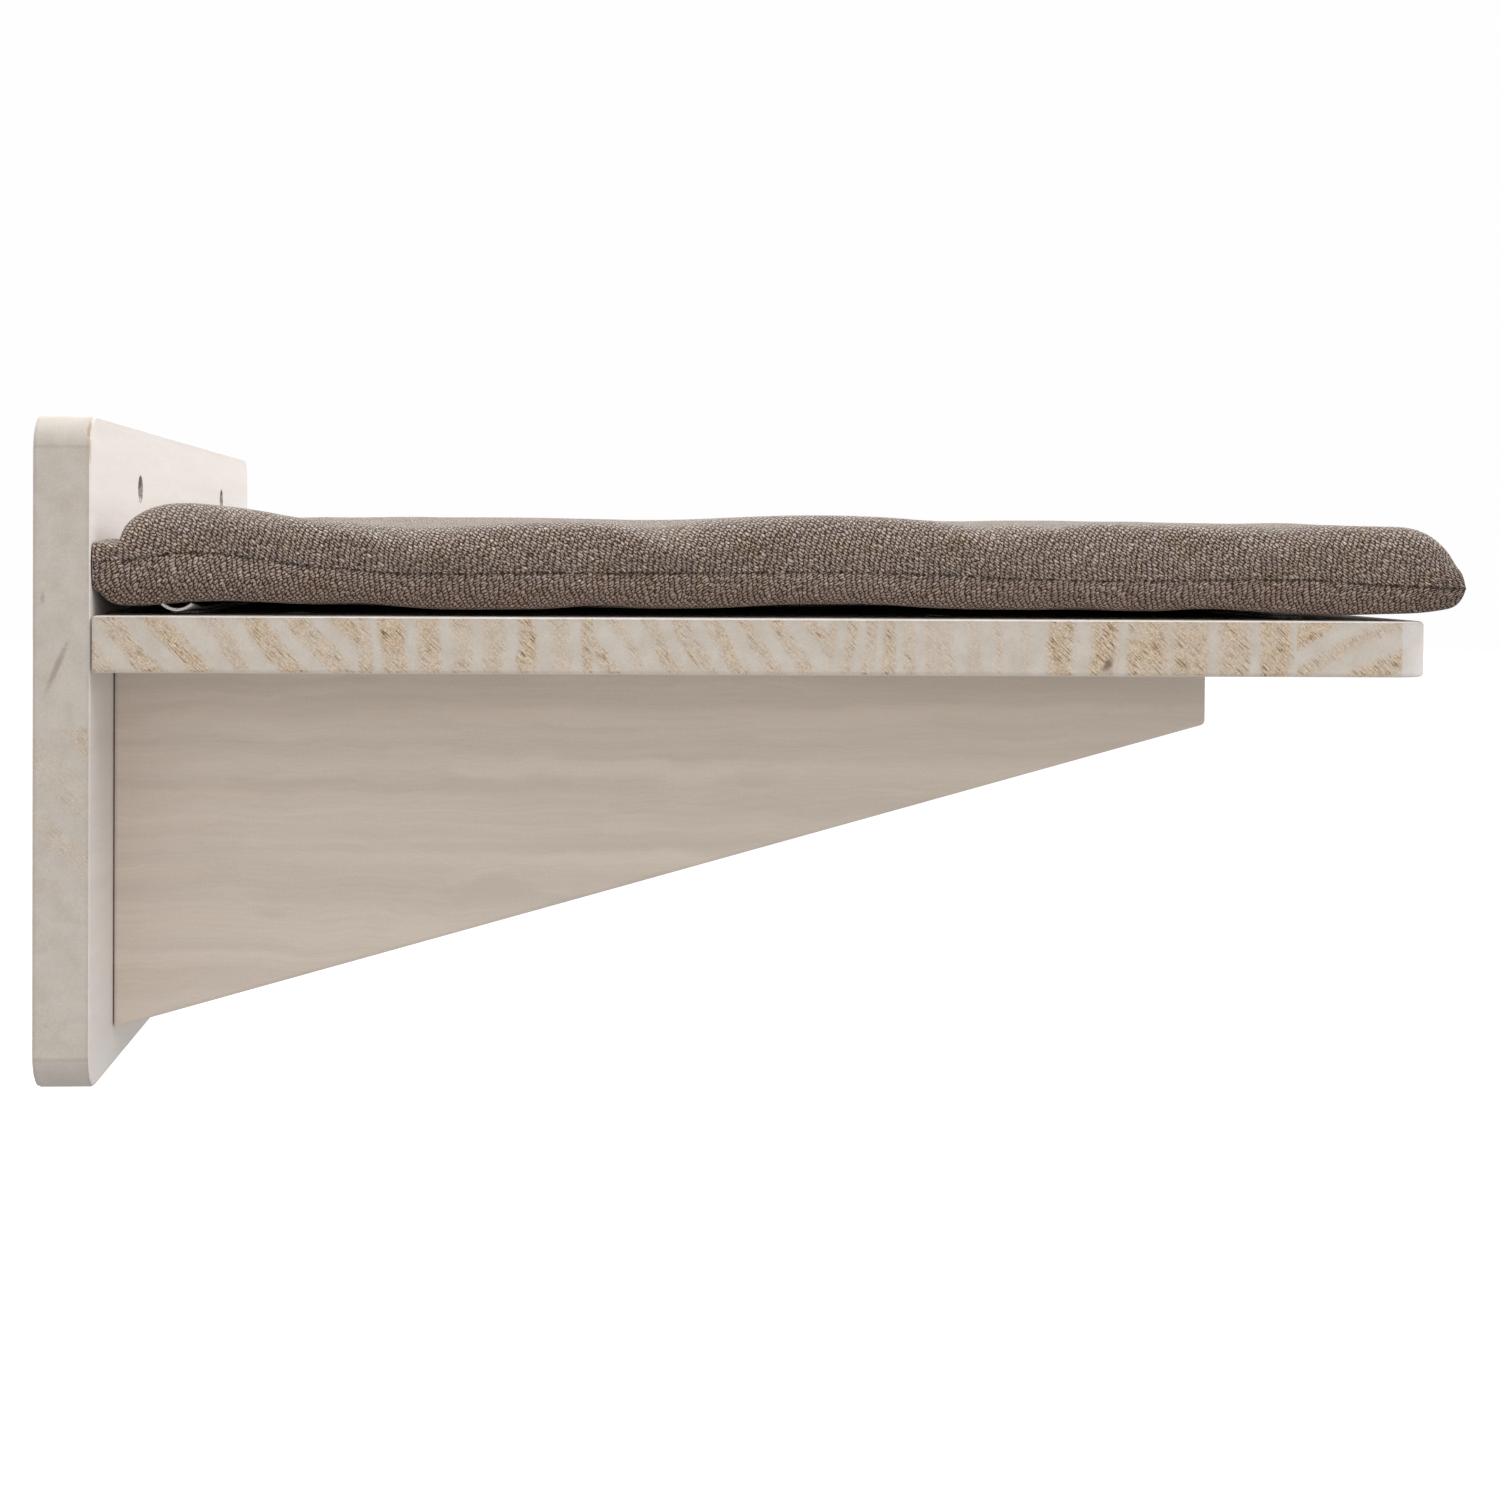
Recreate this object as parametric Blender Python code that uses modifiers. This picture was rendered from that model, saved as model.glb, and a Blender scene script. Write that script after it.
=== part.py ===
"""Cat wall platform: a wall board carries a level shelf on two brackets, and a stuffed pad lies on the shelf.

Metres. The origin is the centre of the wall board's back face. +X points out of the wall, +Y along it, +Z up.
"""

import math

import bmesh
import bpy
from mathutils import Vector

# Pine boards
PLATFORM_WIDTH = 0.400
WALL_BOARD_THICKNESS = 0.018
WALL_BOARD_HEIGHT = 0.215
SHELF_THICKNESS = 0.018
SHELF_LENGTH = 0.430
SHELF_TOP_DROP = 0.064  # from the wall board's top edge down to the shelf's top face
BRACKET_THICKNESS = 0.018
BRACKET_LENGTH = 0.367
BRACKET_TIP_HEIGHT = 0.018
BRACKET_FOOT_MARGIN = 0.0125  # from the wall board's lower edge up to the bracket's foot
BRACKET_INSET = 0.041  # from the shelf's side to the bracket's outer face
CORNER_RADIUS = 0.012
CORNER_STEPS = 7
ARRIS_RADIUS = 0.0012  # sanded edges
ARRIS_STEPS = 2
ARRIS_ANGLE = math.radians(50)  # edges sharper than this are sanded

# Clearance between pieces that rest on, pass through or are cut by each other
CLEARANCE = 0.0003

# Holes for the wall screws, countersunk on the front face
FIXING_HOLE_DIAMETER = 0.0062
FIXING_HEAD_DIAMETER = 0.0100
FIXING_SIDE_MARGIN = 0.094
FIXING_TOP_MARGIN = 0.022
FIXING_BOTTOM_MARGIN = 0.022
FIXING_SIDES = 24

# Countersunk wood screws that hold the boards together
SCREW_DIAMETER = 0.0040
SCREW_HEAD_DIAMETER = 0.0080
SCREW_HEAD_RIM = 0.0004
SCREW_LENGTH = 0.045
SCREW_TIP_LENGTH = 0.005
SCREW_SINK = 0.0003  # head below the face of the board
SCREW_SIDES = 16
SCREW_SHARP_ANGLE = math.radians(30)
RECESS_SPAN = 0.0044
RECESS_SLOT = 0.0011
RECESS_DEPTH = 0.0018
PILOT_SPARE = 0.001  # blind hole past the screw's tip
SHELF_SCREW_MARGIN = 0.050  # from the shelf's side to the outer screw
SHELF_SCREW_COUNT = 4
BRACKET_SCREW_TOP_MARGIN = 0.030
BRACKET_SCREW_FOOT_MARGIN = 0.030
TOP_SCREW_WALL_MARGIN = 0.060
TOP_SCREW_TIP_MARGIN = 0.090

# Hook-and-loop strips under the cushion
STRIP_WIDTH = 0.010
STRIP_END_MARGIN = 0.025
HOOK_STRIP_THICKNESS = 0.0008
LOOP_STRIP_THICKNESS = 0.0008
REAR_STRIP_FROM_WALL_BOARD = 0.026
FRONT_STRIP_FROM_SHELF_END = 0.040
STRIP_CORNER_RADIUS = 0.0015
STRIP_CORNER_STEPS = 3

# Cushion: two sewn panels round a filling
CUSHION_WALL_GAP = 0.0005
CUSHION_OVERHANG = 0.010  # past the shelf's free end
CUSHION_SIDE_INSET = 0.001
SEAM_HEIGHT = 0.0125  # seam above the flat underside
TOP_RISE = 0.0165  # top above the seam, near the edges
CROWN = 0.0025  # extra height in the middle
EDGE_ROUND = 0.013  # reach of the rounded edge, in plan
SEAM_TUCK = 0.0025  # the seam is drawn in this far from the rounded edge
SEAM_TUCK_POWER = 4  # how narrow the groove at the seam is
DRAW_IN = 0.007  # the sides pull in this far between the corners
DRAW_IN_POWER = 4  # how late the sides flare out to the corners
CORNER_PINCH = 0.35  # share of the height lost at the sewn corners
CORNER_REACH = 0.012  # how far from a corner its pinch is felt
FABRIC_THICKNESS = 0.0012
FILLING_SEAM_GAP = 0.004
CUSHION_CELLS = 6  # across the nearly flat middle
CUSHION_EDGE_STEPS = 4  # round the edge

# How far a cutter stands out of what it cuts, and the distance at which points are one point
CUT_MARGIN = 0.004
WELD_DISTANCE = 0.00001

# Places that follow from the sizes
HALF_WIDTH = PLATFORM_WIDTH / 2
BOARD_TOP = WALL_BOARD_HEIGHT / 2
BOARD_BOTTOM = -WALL_BOARD_HEIGHT / 2
SHELF_TOP = BOARD_TOP - SHELF_TOP_DROP
SHELF_UNDERSIDE = SHELF_TOP - SHELF_THICKNESS
SHELF_START = WALL_BOARD_THICKNESS + CLEARANCE
SHELF_END = WALL_BOARD_THICKNESS + SHELF_LENGTH
BRACKET_TOP = SHELF_UNDERSIDE - CLEARANCE
BRACKET_FOOT = BOARD_BOTTOM + BRACKET_FOOT_MARGIN
BRACKET_TIP = WALL_BOARD_THICKNESS + BRACKET_LENGTH
BRACKET_CENTRE = HALF_WIDTH - BRACKET_INSET - BRACKET_THICKNESS / 2
LOOP_STRIP_BASE = SHELF_TOP + CLEARANCE + HOOK_STRIP_THICKNESS + CLEARANCE
CUSHION_BASE = LOOP_STRIP_BASE + LOOP_STRIP_THICKNESS + CLEARANCE
CUSHION_START = WALL_BOARD_THICKNESS + CUSHION_WALL_GAP
CUSHION_END = SHELF_END + CUSHION_OVERHANG
CUSHION_HALF_LENGTH = (CUSHION_END - CUSHION_START) / 2
CUSHION_HALF_WIDTH = HALF_WIDTH - CUSHION_SIDE_INSET
CUSHION_CENTRE = (CUSHION_START + CUSHION_END) / 2


# Scene, collections and materials


def clear_scene():
    for old in list(bpy.data.objects):
        bpy.data.objects.remove(old, do_unlink=True)


def new_collection(name):
    group = bpy.data.collections.new(name)
    bpy.context.scene.collection.children.link(group)
    return group


def new_material(name, colour, roughness, metallic=0.0):
    made = bpy.data.materials.new(name)
    made.use_nodes = True
    shader = made.node_tree.nodes["Principled BSDF"]
    shader.inputs["Base Color"].default_value = (*colour, 1.0)
    shader.inputs["Roughness"].default_value = roughness
    shader.inputs["Metallic"].default_value = metallic
    return made


def new_object(name, mesh, group, material=None):
    made = bpy.data.objects.new(name, mesh)
    group.objects.link(made)
    if material:
        mesh.materials.clear()
        mesh.materials.append(material)
    return made


def new_empty(name, place, group):
    made = bpy.data.objects.new(name, None)
    made.location = place
    made.empty_display_size = 0.03
    group.objects.link(made)
    return made


def new_cutter(name, mesh, group):
    made = new_object(name, mesh, group)
    made.hide_render = True
    made.display_type = "WIRE"
    return made


def mesh_from(bm, name):
    mesh = bpy.data.meshes.new(name)
    bm.to_mesh(mesh)
    bm.free()
    return mesh


def baked_mesh(source, name):
    """The mesh of an object with its modifiers applied; the object itself is removed."""
    bpy.context.view_layer.update()
    evaluated = source.evaluated_get(bpy.context.evaluated_depsgraph_get())
    mesh = bpy.data.meshes.new_from_object(evaluated)
    mesh.name = name
    bpy.data.objects.remove(source, do_unlink=True)
    return mesh


def cut(target, cutter, operation="DIFFERENCE"):
    made = target.modifiers.new("cut_" + cutter.name, "BOOLEAN")
    made.operation = operation
    made.solver = "EXACT"
    made.object = cutter


# Shapes that the boards share


def box_bmesh(low, high):
    bm = bmesh.new()
    bmesh.ops.create_cube(bm, size=1.0)
    size = Vector(high) - Vector(low)
    centre = (Vector(high) + Vector(low)) / 2
    bmesh.ops.scale(bm, vec=size, verts=bm.verts)
    bmesh.ops.translate(bm, vec=centre, verts=bm.verts)
    return bm


def round_edges(bm, edges, radius, steps):
    bmesh.ops.bevel(
        bm,
        geom=edges,
        offset=radius,
        segments=steps,
        profile=0.5,
        affect="EDGES",
        clamp_overlap=True,
    )


def edges_along(bm, axis):
    """The edges of a box that run along one axis, 0, 1 or 2."""
    found = []
    for edge in bm.edges:
        run = edge.verts[1].co - edge.verts[0].co
        if max(range(3), key=lambda direction: abs(run[direction])) == axis:
            found.append(edge)
    return found


def sand_edges(board):
    made = board.modifiers.new("sanded_edges", "BEVEL")
    made.width = ARRIS_RADIUS
    made.segments = ARRIS_STEPS
    made.limit_method = "ANGLE"
    made.angle_limit = ARRIS_ANGLE


# Turned shapes: screws and the holes that take them


def turned_mesh(name, profile, sides, group):
    """A closed turned solid about Z, from (radius, height) points down its outer side."""
    bm = bmesh.new()
    points = [bm.verts.new((radius, 0, height)) for radius, height in profile]
    for upper, lower in zip(points, points[1:]):
        bm.edges.new((upper, lower))
    turned = new_object(name, mesh_from(bm, name), group)
    screw = turned.modifiers.new("turn", "SCREW")
    screw.axis = "Z"
    screw.steps = sides
    screw.render_steps = sides
    screw.use_merge_vertices = True
    screw.merge_threshold = WELD_DISTANCE
    return baked_mesh(turned, name)


def countersunk_profile(head_radius, rim, radius, length):
    """A hole: the head's recess from above the face, the 90 degree seat, then the bore."""
    seat = rim + head_radius - radius
    return [
        (0, CUT_MARGIN),
        (head_radius, CUT_MARGIN),
        (head_radius, -rim),
        (radius, -seat),
        (radius, -length),
        (0, -length),
    ]


def screw_profile():
    head_radius = SCREW_HEAD_DIAMETER / 2
    radius = SCREW_DIAMETER / 2
    top = -SCREW_SINK
    seat = top - SCREW_HEAD_RIM - (head_radius - radius)
    tip = top - SCREW_LENGTH
    return [
        (0, top),
        (head_radius, top),
        (head_radius, top - SCREW_HEAD_RIM),
        (radius, seat),
        (radius, tip + SCREW_TIP_LENGTH),
        (0, tip),
    ]


def screw_mesh(group, material):
    """One countersunk screw, head up at the origin, with a cross recess in its head."""
    mesh = turned_mesh("screw", screw_profile(), SCREW_SIDES, group)
    blank = new_object("screw_blank", mesh, group)
    floor = -SCREW_SINK - RECESS_DEPTH
    slots = []
    for index, (span_x, span_y) in enumerate(((RECESS_SPAN, RECESS_SLOT), (RECESS_SLOT, RECESS_SPAN))):
        bm = box_bmesh((-span_x / 2, -span_y / 2, floor), (span_x / 2, span_y / 2, CUT_MARGIN))
        slot = new_cutter(f"recess_{index + 1}", mesh_from(bm, "recess"), group)
        cut(blank, slot)
        slots.append(slot)
    finished = baked_mesh(blank, "countersunk_screw")
    for slot in slots:
        bpy.data.objects.remove(slot, do_unlink=True)
    finished.shade_smooth()
    finished.set_sharp_from_angle(angle=SCREW_SHARP_ANGLE)
    finished.materials.append(material)
    return finished


def screw_hole_mesh(group):
    profile = countersunk_profile(
        SCREW_HEAD_DIAMETER / 2 + CLEARANCE,
        SCREW_SINK + SCREW_HEAD_RIM,
        SCREW_DIAMETER / 2 + CLEARANCE,
        SCREW_SINK + SCREW_LENGTH + PILOT_SPARE,
    )
    return turned_mesh("screw_hole", profile, SCREW_SIDES, group)


def fixing_hole_mesh(group):
    profile = countersunk_profile(
        FIXING_HEAD_DIAMETER / 2,
        0.0,
        FIXING_HOLE_DIAMETER / 2,
        WALL_BOARD_THICKNESS + CUT_MARGIN,
    )
    return turned_mesh("fixing_hole", profile, FIXING_SIDES, group)


# Where the screws go: each is a name, the point where its head meets the board, and its turn about Y

HEAD_TO_WALL = -math.pi / 2
HEAD_TO_FRONT = math.pi / 2
HEAD_UP = 0.0


def shelf_screw_places():
    height = SHELF_TOP - SHELF_THICKNESS / 2
    first = -HALF_WIDTH + SHELF_SCREW_MARGIN
    pitch = (PLATFORM_WIDTH - 2 * SHELF_SCREW_MARGIN) / (SHELF_SCREW_COUNT - 1)
    return [
        (f"shelf_screw_{index + 1}", (0, first + index * pitch, height), HEAD_TO_WALL)
        for index in range(SHELF_SCREW_COUNT)
    ]


def bracket_screw_places():
    heights = (BRACKET_TOP - BRACKET_SCREW_TOP_MARGIN, BRACKET_FOOT + BRACKET_SCREW_FOOT_MARGIN)
    places = [(0, side * BRACKET_CENTRE, height) for side in (-1, 1) for height in heights]
    return [(f"bracket_screw_{index + 1}", place, HEAD_TO_WALL) for index, place in enumerate(places)]


def top_screw_places():
    reaches = (WALL_BOARD_THICKNESS + TOP_SCREW_WALL_MARGIN, BRACKET_TIP - TOP_SCREW_TIP_MARGIN)
    places = [(reach, side * BRACKET_CENTRE, SHELF_TOP) for side in (-1, 1) for reach in reaches]
    return [(f"top_screw_{index + 1}", place, HEAD_UP) for index, place in enumerate(places)]


def fixing_hole_places():
    across = HALF_WIDTH - FIXING_SIDE_MARGIN
    heights = (BOARD_TOP - FIXING_TOP_MARGIN, BOARD_BOTTOM + FIXING_BOTTOM_MARGIN)
    places = [(WALL_BOARD_THICKNESS, side * across, height) for height in heights for side in (-1, 1)]
    return [(f"fixing_hole_{index + 1}", place, HEAD_TO_FRONT) for index, place in enumerate(places)]


def placed(made, place, turn):
    made.location = place
    made.rotation_euler = (0, turn, 0)
    return made


def hole_cutters(places, mesh, group):
    return [placed(new_cutter(name + "_cutter", mesh, group), place, turn) for name, place, turn in places]


# Boards


def make_wall_board(group, material, cutters):
    bm = box_bmesh((0, -HALF_WIDTH, BOARD_BOTTOM), (WALL_BOARD_THICKNESS, HALF_WIDTH, BOARD_TOP))
    round_edges(bm, edges_along(bm, 0), CORNER_RADIUS, CORNER_STEPS)
    board = new_object("wall_board", mesh_from(bm, "wall_board"), group, material)
    sand_edges(board)
    for cutter in cutters:
        cut(board, cutter)
    return board


def make_shelf_board(group, material, cutters):
    bm = box_bmesh((SHELF_START, -HALF_WIDTH, SHELF_UNDERSIDE), (SHELF_END, HALF_WIDTH, SHELF_TOP))
    middle = (SHELF_START + SHELF_END) / 2
    front_corners = [edge for edge in edges_along(bm, 2) if edge.verts[0].co.x > middle]
    round_edges(bm, front_corners, CORNER_RADIUS, CORNER_STEPS)
    board = new_object("shelf_board", mesh_from(bm, "shelf_board"), group, material)
    sand_edges(board)
    for cutter in cutters:
        cut(board, cutter)
    return board


def make_bracket(name, side, group, material, cutters):
    """A trapezoid drawn in the XZ plane and extruded to the board's thickness."""
    outline = (
        (SHELF_START, BRACKET_TOP),
        (BRACKET_TIP, BRACKET_TOP),
        (BRACKET_TIP, BRACKET_TOP - BRACKET_TIP_HEIGHT),
        (SHELF_START, BRACKET_FOOT),
    )
    curve = bpy.data.curves.new(name, "CURVE")
    curve.dimensions = "2D"
    curve.fill_mode = "BOTH"
    curve.extrude = BRACKET_THICKNESS / 2
    spline = curve.splines.new("POLY")
    spline.points.add(len(outline) - 1)
    for point, (reach, height) in zip(spline.points, outline):
        point.co = (reach, height, 0, 1)
    spline.use_cyclic_u = True
    drawn = bpy.data.objects.new(name + "_outline", curve)
    group.objects.link(drawn)
    mesh = baked_mesh(drawn, name)
    bm = bmesh.new()
    bm.from_mesh(mesh)
    bmesh.ops.remove_doubles(bm, verts=bm.verts, dist=WELD_DISTANCE)
    bm.to_mesh(mesh)
    bm.free()
    bracket = new_object(name, mesh, group, material)
    bracket.location = (0, side * BRACKET_CENTRE, 0)
    bracket.rotation_euler = (math.pi / 2, 0, 0)
    sand_edges(bracket)
    for cutter in cutters:
        cut(bracket, cutter)
    return bracket


# Hook-and-loop strips


def make_strip(name, reach, base, thickness, group, material):
    half = HALF_WIDTH - STRIP_END_MARGIN
    bm = box_bmesh((reach - STRIP_WIDTH / 2, -half, base), (reach + STRIP_WIDTH / 2, half, base + thickness))
    round_edges(bm, edges_along(bm, 2), STRIP_CORNER_RADIUS, STRIP_CORNER_STEPS)
    return new_object(name, mesh_from(bm, name), group, material)


# Cushion


def pillow_stations(half):
    """Places across one direction of the pillow, closer near the edges, each with its share of the height."""
    rising = []
    for step in range(CUSHION_EDGE_STEPS):
        angle = math.pi / 2 * step / CUSHION_EDGE_STEPS
        share = math.sin(angle)
        rising.append((EDGE_ROUND * (1 - math.cos(angle)) - half, share))
    flat_half = half - EDGE_ROUND
    turns = [math.pi * (cell / CUSHION_CELLS - 0.5) for cell in range(CUSHION_CELLS + 1)]
    flat = [(flat_half * math.sin(turn), 1.0) for turn in turns]
    falling = [(-place, share) for place, share in reversed(rising)]
    return rising + flat + falling


def away_from_corner(distance):
    """0 at a sewn corner, rising to 1 away from it."""
    return 1 - math.exp(-((distance / CORNER_REACH) ** 2))


def seam_tuck(place, share, to_corner):
    """How far the seam is drawn in from the rounded side, fading out at the corners."""
    tuck = SEAM_TUCK * (1 - share) ** SEAM_TUCK_POWER * away_from_corner(to_corner)
    return math.copysign(tuck, place)


def pillow_mesh(name, plan_inset, height_inset):
    """A knife-edged pillow about its own centre, its seam at height 0: two grids sewn along their rim."""
    half_length = CUSHION_HALF_LENGTH - plan_inset
    half_width = CUSHION_HALF_WIDTH - plan_inset
    along = pillow_stations(half_length)
    across = pillow_stations(half_width)
    last = len(along) - 1
    bm = bmesh.new()
    for rise, crown in ((TOP_RISE - height_inset, CROWN), (height_inset - SEAM_HEIGHT, 0.0)):
        grid = bmesh.ops.create_grid(bm, x_segments=last, y_segments=last, size=1.0)
        for vert in grid["verts"]:
            x, share_x = along[round((vert.co.x + 1) / 2 * last)]
            y, share_y = across[round((vert.co.y + 1) / 2 * last)]
            s = x / half_length
            t = y / half_width
            end_x = half_length - abs(x)
            end_y = half_width - abs(y)
            pinch = CORNER_PINCH * (1 - away_from_corner(math.hypot(end_x, end_y)))
            share = share_x * share_y * (1 - pinch)
            draw_x = s * DRAW_IN * (1 - abs(t) ** DRAW_IN_POWER)
            draw_y = t * DRAW_IN * (1 - abs(s) ** DRAW_IN_POWER)
            vert.co.x = x - draw_x - seam_tuck(x, share_x, end_y)
            vert.co.y = y - draw_y - seam_tuck(y, share_y, end_x)
            vert.co.z = rise * share + crown * (1 - s * s) * (1 - t * t) * share
    lower_faces = [face for face in bm.faces if sum(vert.co.z for vert in face.verts) < 0]
    bmesh.ops.reverse_faces(bm, faces=lower_faces)
    bmesh.ops.remove_doubles(bm, verts=bm.verts, dist=WELD_DISTANCE)
    # The same diagonal in every pillow keeps one nested inside another
    bmesh.ops.triangulate(bm, faces=bm.faces, quad_method="FIXED")
    mesh = mesh_from(bm, name)
    mesh.shade_smooth()
    return mesh


def make_cushion_panel(name, side, group, cutter_group, carrier, material):
    """One panel of the cover: the pillow's skin on one side of the seam, side 1 above and -1 below."""
    mesh = pillow_mesh(name, 0.0, 0.0)
    panel = new_object(name, mesh, group, material)
    inner = pillow_mesh(name + "_inside", FABRIC_THICKNESS, FABRIC_THICKNESS)
    hollow = new_cutter(name + "_inside", inner, cutter_group)
    reach = CUSHION_HALF_LENGTH + CUT_MARGIN
    spread = CUSHION_HALF_WIDTH + CUT_MARGIN
    near = side * CLEARANCE / 2
    far = side * (TOP_RISE + CROWN + CUT_MARGIN)
    half_space = box_bmesh((-reach, -spread, min(near, far)), (reach, spread, max(near, far)))
    block = new_cutter(name + "_side", mesh_from(half_space, name + "_side"), cutter_group)
    cut(panel, hollow)
    cut(panel, block, "INTERSECT")
    for piece in (panel, hollow, block):
        piece.parent = carrier
        piece.location = (0, 0, SEAM_HEIGHT)
    return panel


def make_cushion_filling(group, carrier, material):
    plan_inset = FABRIC_THICKNESS + FILLING_SEAM_GAP
    mesh = pillow_mesh("cushion_filling", plan_inset, FABRIC_THICKNESS + CLEARANCE)
    filling = new_object("cushion_filling", mesh, group, material)
    filling.parent = carrier
    filling.location = (0, 0, SEAM_HEIGHT)
    return filling


# The whole platform


def build():
    clear_scene()
    parts = new_collection("cat_wall_platform")
    cutters = new_collection("cutters")

    glazed_pine = new_material("glazed_pine", (0.62, 0.57, 0.52), 0.6)
    taupe_fabric = new_material("taupe_fabric", (0.19, 0.15, 0.13), 0.95)
    wadding = new_material("wadding", (0.85, 0.85, 0.83), 0.95)
    zinc_steel = new_material("zinc_steel", (0.62, 0.63, 0.66), 0.35, 1.0)
    white_tape = new_material("white_tape", (0.75, 0.74, 0.72), 0.9)

    hole = screw_hole_mesh(cutters)
    shelf_holes = hole_cutters(shelf_screw_places(), hole, cutters)
    bracket_holes = hole_cutters(bracket_screw_places(), hole, cutters)
    top_holes = hole_cutters(top_screw_places(), hole, cutters)
    fixing_holes = hole_cutters(fixing_hole_places(), fixing_hole_mesh(cutters), cutters)

    make_wall_board(parts, glazed_pine, fixing_holes + shelf_holes + bracket_holes)
    make_shelf_board(parts, glazed_pine, shelf_holes + top_holes)
    half = len(bracket_holes) // 2
    make_bracket("bracket_left", -1, parts, glazed_pine, bracket_holes[:half] + top_holes[:half])
    make_bracket("bracket_right", 1, parts, glazed_pine, bracket_holes[half:] + top_holes[half:])

    screw = screw_mesh(cutters, zinc_steel)
    for name, place, turn in shelf_screw_places() + bracket_screw_places() + top_screw_places():
        placed(new_object(name, screw, parts), place, turn)

    # The cushion and its loop strips hang on one empty, which slides straight up
    lift = new_empty("cushion_lift", (CUSHION_CENTRE, 0, CUSHION_BASE), parts)
    for name, reach in (
        ("rear", WALL_BOARD_THICKNESS + REAR_STRIP_FROM_WALL_BOARD),
        ("front", SHELF_END - FRONT_STRIP_FROM_SHELF_END),
    ):
        make_strip("hook_strip_" + name, reach, SHELF_TOP + CLEARANCE, HOOK_STRIP_THICKNESS, parts, white_tape)
        base = LOOP_STRIP_BASE - CUSHION_BASE
        loop = make_strip(
            "loop_strip_" + name, reach - CUSHION_CENTRE, base, LOOP_STRIP_THICKNESS, parts, white_tape
        )
        loop.parent = lift
    make_cushion_panel("cushion_top_panel", 1, parts, cutters, lift, taupe_fabric)
    make_cushion_panel("cushion_bottom_panel", -1, parts, cutters, lift, taupe_fabric)
    make_cushion_filling(parts, lift, wadding)


build()
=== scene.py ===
# The looks of a cat wall platform: a glazed pine shelf on a wall board and two brackets, with a
# stuffed woven cushion held down by hook-and-loop tape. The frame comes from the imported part.
import math

import bmesh
import bpy
import numpy as np
from mathutils import Matrix, Vector, noise


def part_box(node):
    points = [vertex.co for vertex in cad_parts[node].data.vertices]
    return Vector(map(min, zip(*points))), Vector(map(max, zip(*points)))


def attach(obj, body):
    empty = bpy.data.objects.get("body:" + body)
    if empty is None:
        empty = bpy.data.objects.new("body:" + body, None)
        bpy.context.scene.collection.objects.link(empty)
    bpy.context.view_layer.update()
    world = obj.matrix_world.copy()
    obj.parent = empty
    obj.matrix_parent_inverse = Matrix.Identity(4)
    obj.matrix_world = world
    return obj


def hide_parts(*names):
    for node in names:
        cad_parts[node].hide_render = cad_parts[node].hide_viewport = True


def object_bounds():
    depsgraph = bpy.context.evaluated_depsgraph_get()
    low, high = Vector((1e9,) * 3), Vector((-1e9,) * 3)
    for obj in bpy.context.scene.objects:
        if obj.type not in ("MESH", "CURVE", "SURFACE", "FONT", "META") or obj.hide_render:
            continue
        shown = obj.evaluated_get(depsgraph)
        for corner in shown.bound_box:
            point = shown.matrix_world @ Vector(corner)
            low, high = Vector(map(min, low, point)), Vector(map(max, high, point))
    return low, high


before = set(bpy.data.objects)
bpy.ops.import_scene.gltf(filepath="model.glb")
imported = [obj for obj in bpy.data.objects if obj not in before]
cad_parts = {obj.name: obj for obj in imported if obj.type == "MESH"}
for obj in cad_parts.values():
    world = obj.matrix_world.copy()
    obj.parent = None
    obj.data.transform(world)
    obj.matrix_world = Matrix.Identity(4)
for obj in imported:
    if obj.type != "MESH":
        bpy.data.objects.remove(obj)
cad_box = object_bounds()
scene = bpy.context.scene


# The camera stands level with the cushion, off the near end of the shelf, turned a little away
# from the wall, as the photograph's straight edges show. Angles are in radians.
PHOTO_SIZE = 1500
PHOTO_FOCAL = 2368
PHOTO_CENTRE = (650, 587)
CAMERA_PLACE = (0.1596, -0.9515, 0.0663)
CAMERA_YAW = 0.0461
CAMERA_PITCH = -0.0170
CAMERA_ROLL = 0.0061

lens = bpy.data.cameras.new("camera")
lens.sensor_width = 36
lens.lens = lens.sensor_width * PHOTO_FOCAL / PHOTO_SIZE
lens.shift_x = (PHOTO_SIZE / 2 - PHOTO_CENTRE[0]) / PHOTO_SIZE
lens.shift_y = (PHOTO_CENTRE[1] - PHOTO_SIZE / 2) / PHOTO_SIZE
lens.clip_end = 100
camera = bpy.data.objects.new("camera", lens)
scene.collection.objects.link(camera)
camera.matrix_world = (
    Matrix.Translation(CAMERA_PLACE)
    @ Matrix.Rotation(-CAMERA_YAW, 4, "Z")
    @ Matrix.Rotation(math.pi / 2 + CAMERA_PITCH, 4, "X")
    @ Matrix.Rotation(CAMERA_ROLL, 4, "Z")
)
scene.camera = camera


# The studio is a white sweep lit from all round, with a large soft box over the shelf and another
# off its free end, so that the faces turned away from the wall are the brightest.
FLOOR_DROP = 0.42
FLOOR_RADIUS = 14.0
FLOOR_GLOW = 0.90
LIGHT_FROM_BELOW = 0.52
LIGHT_FROM_ABOVE = 0.84
LIT_PLACE = Vector((0.22, 0, 0))


def linear(hex_colour, alpha=1.0):
    """An sRGB hex colour as the linear colour that the shaders take."""
    parts = [int(hex_colour[i:i + 2], 16) / 255 for i in (1, 3, 5)]
    return [p / 12.92 if p <= 0.04045 else ((p + 0.055) / 1.055) ** 2.4 for p in parts] + [alpha]


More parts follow.
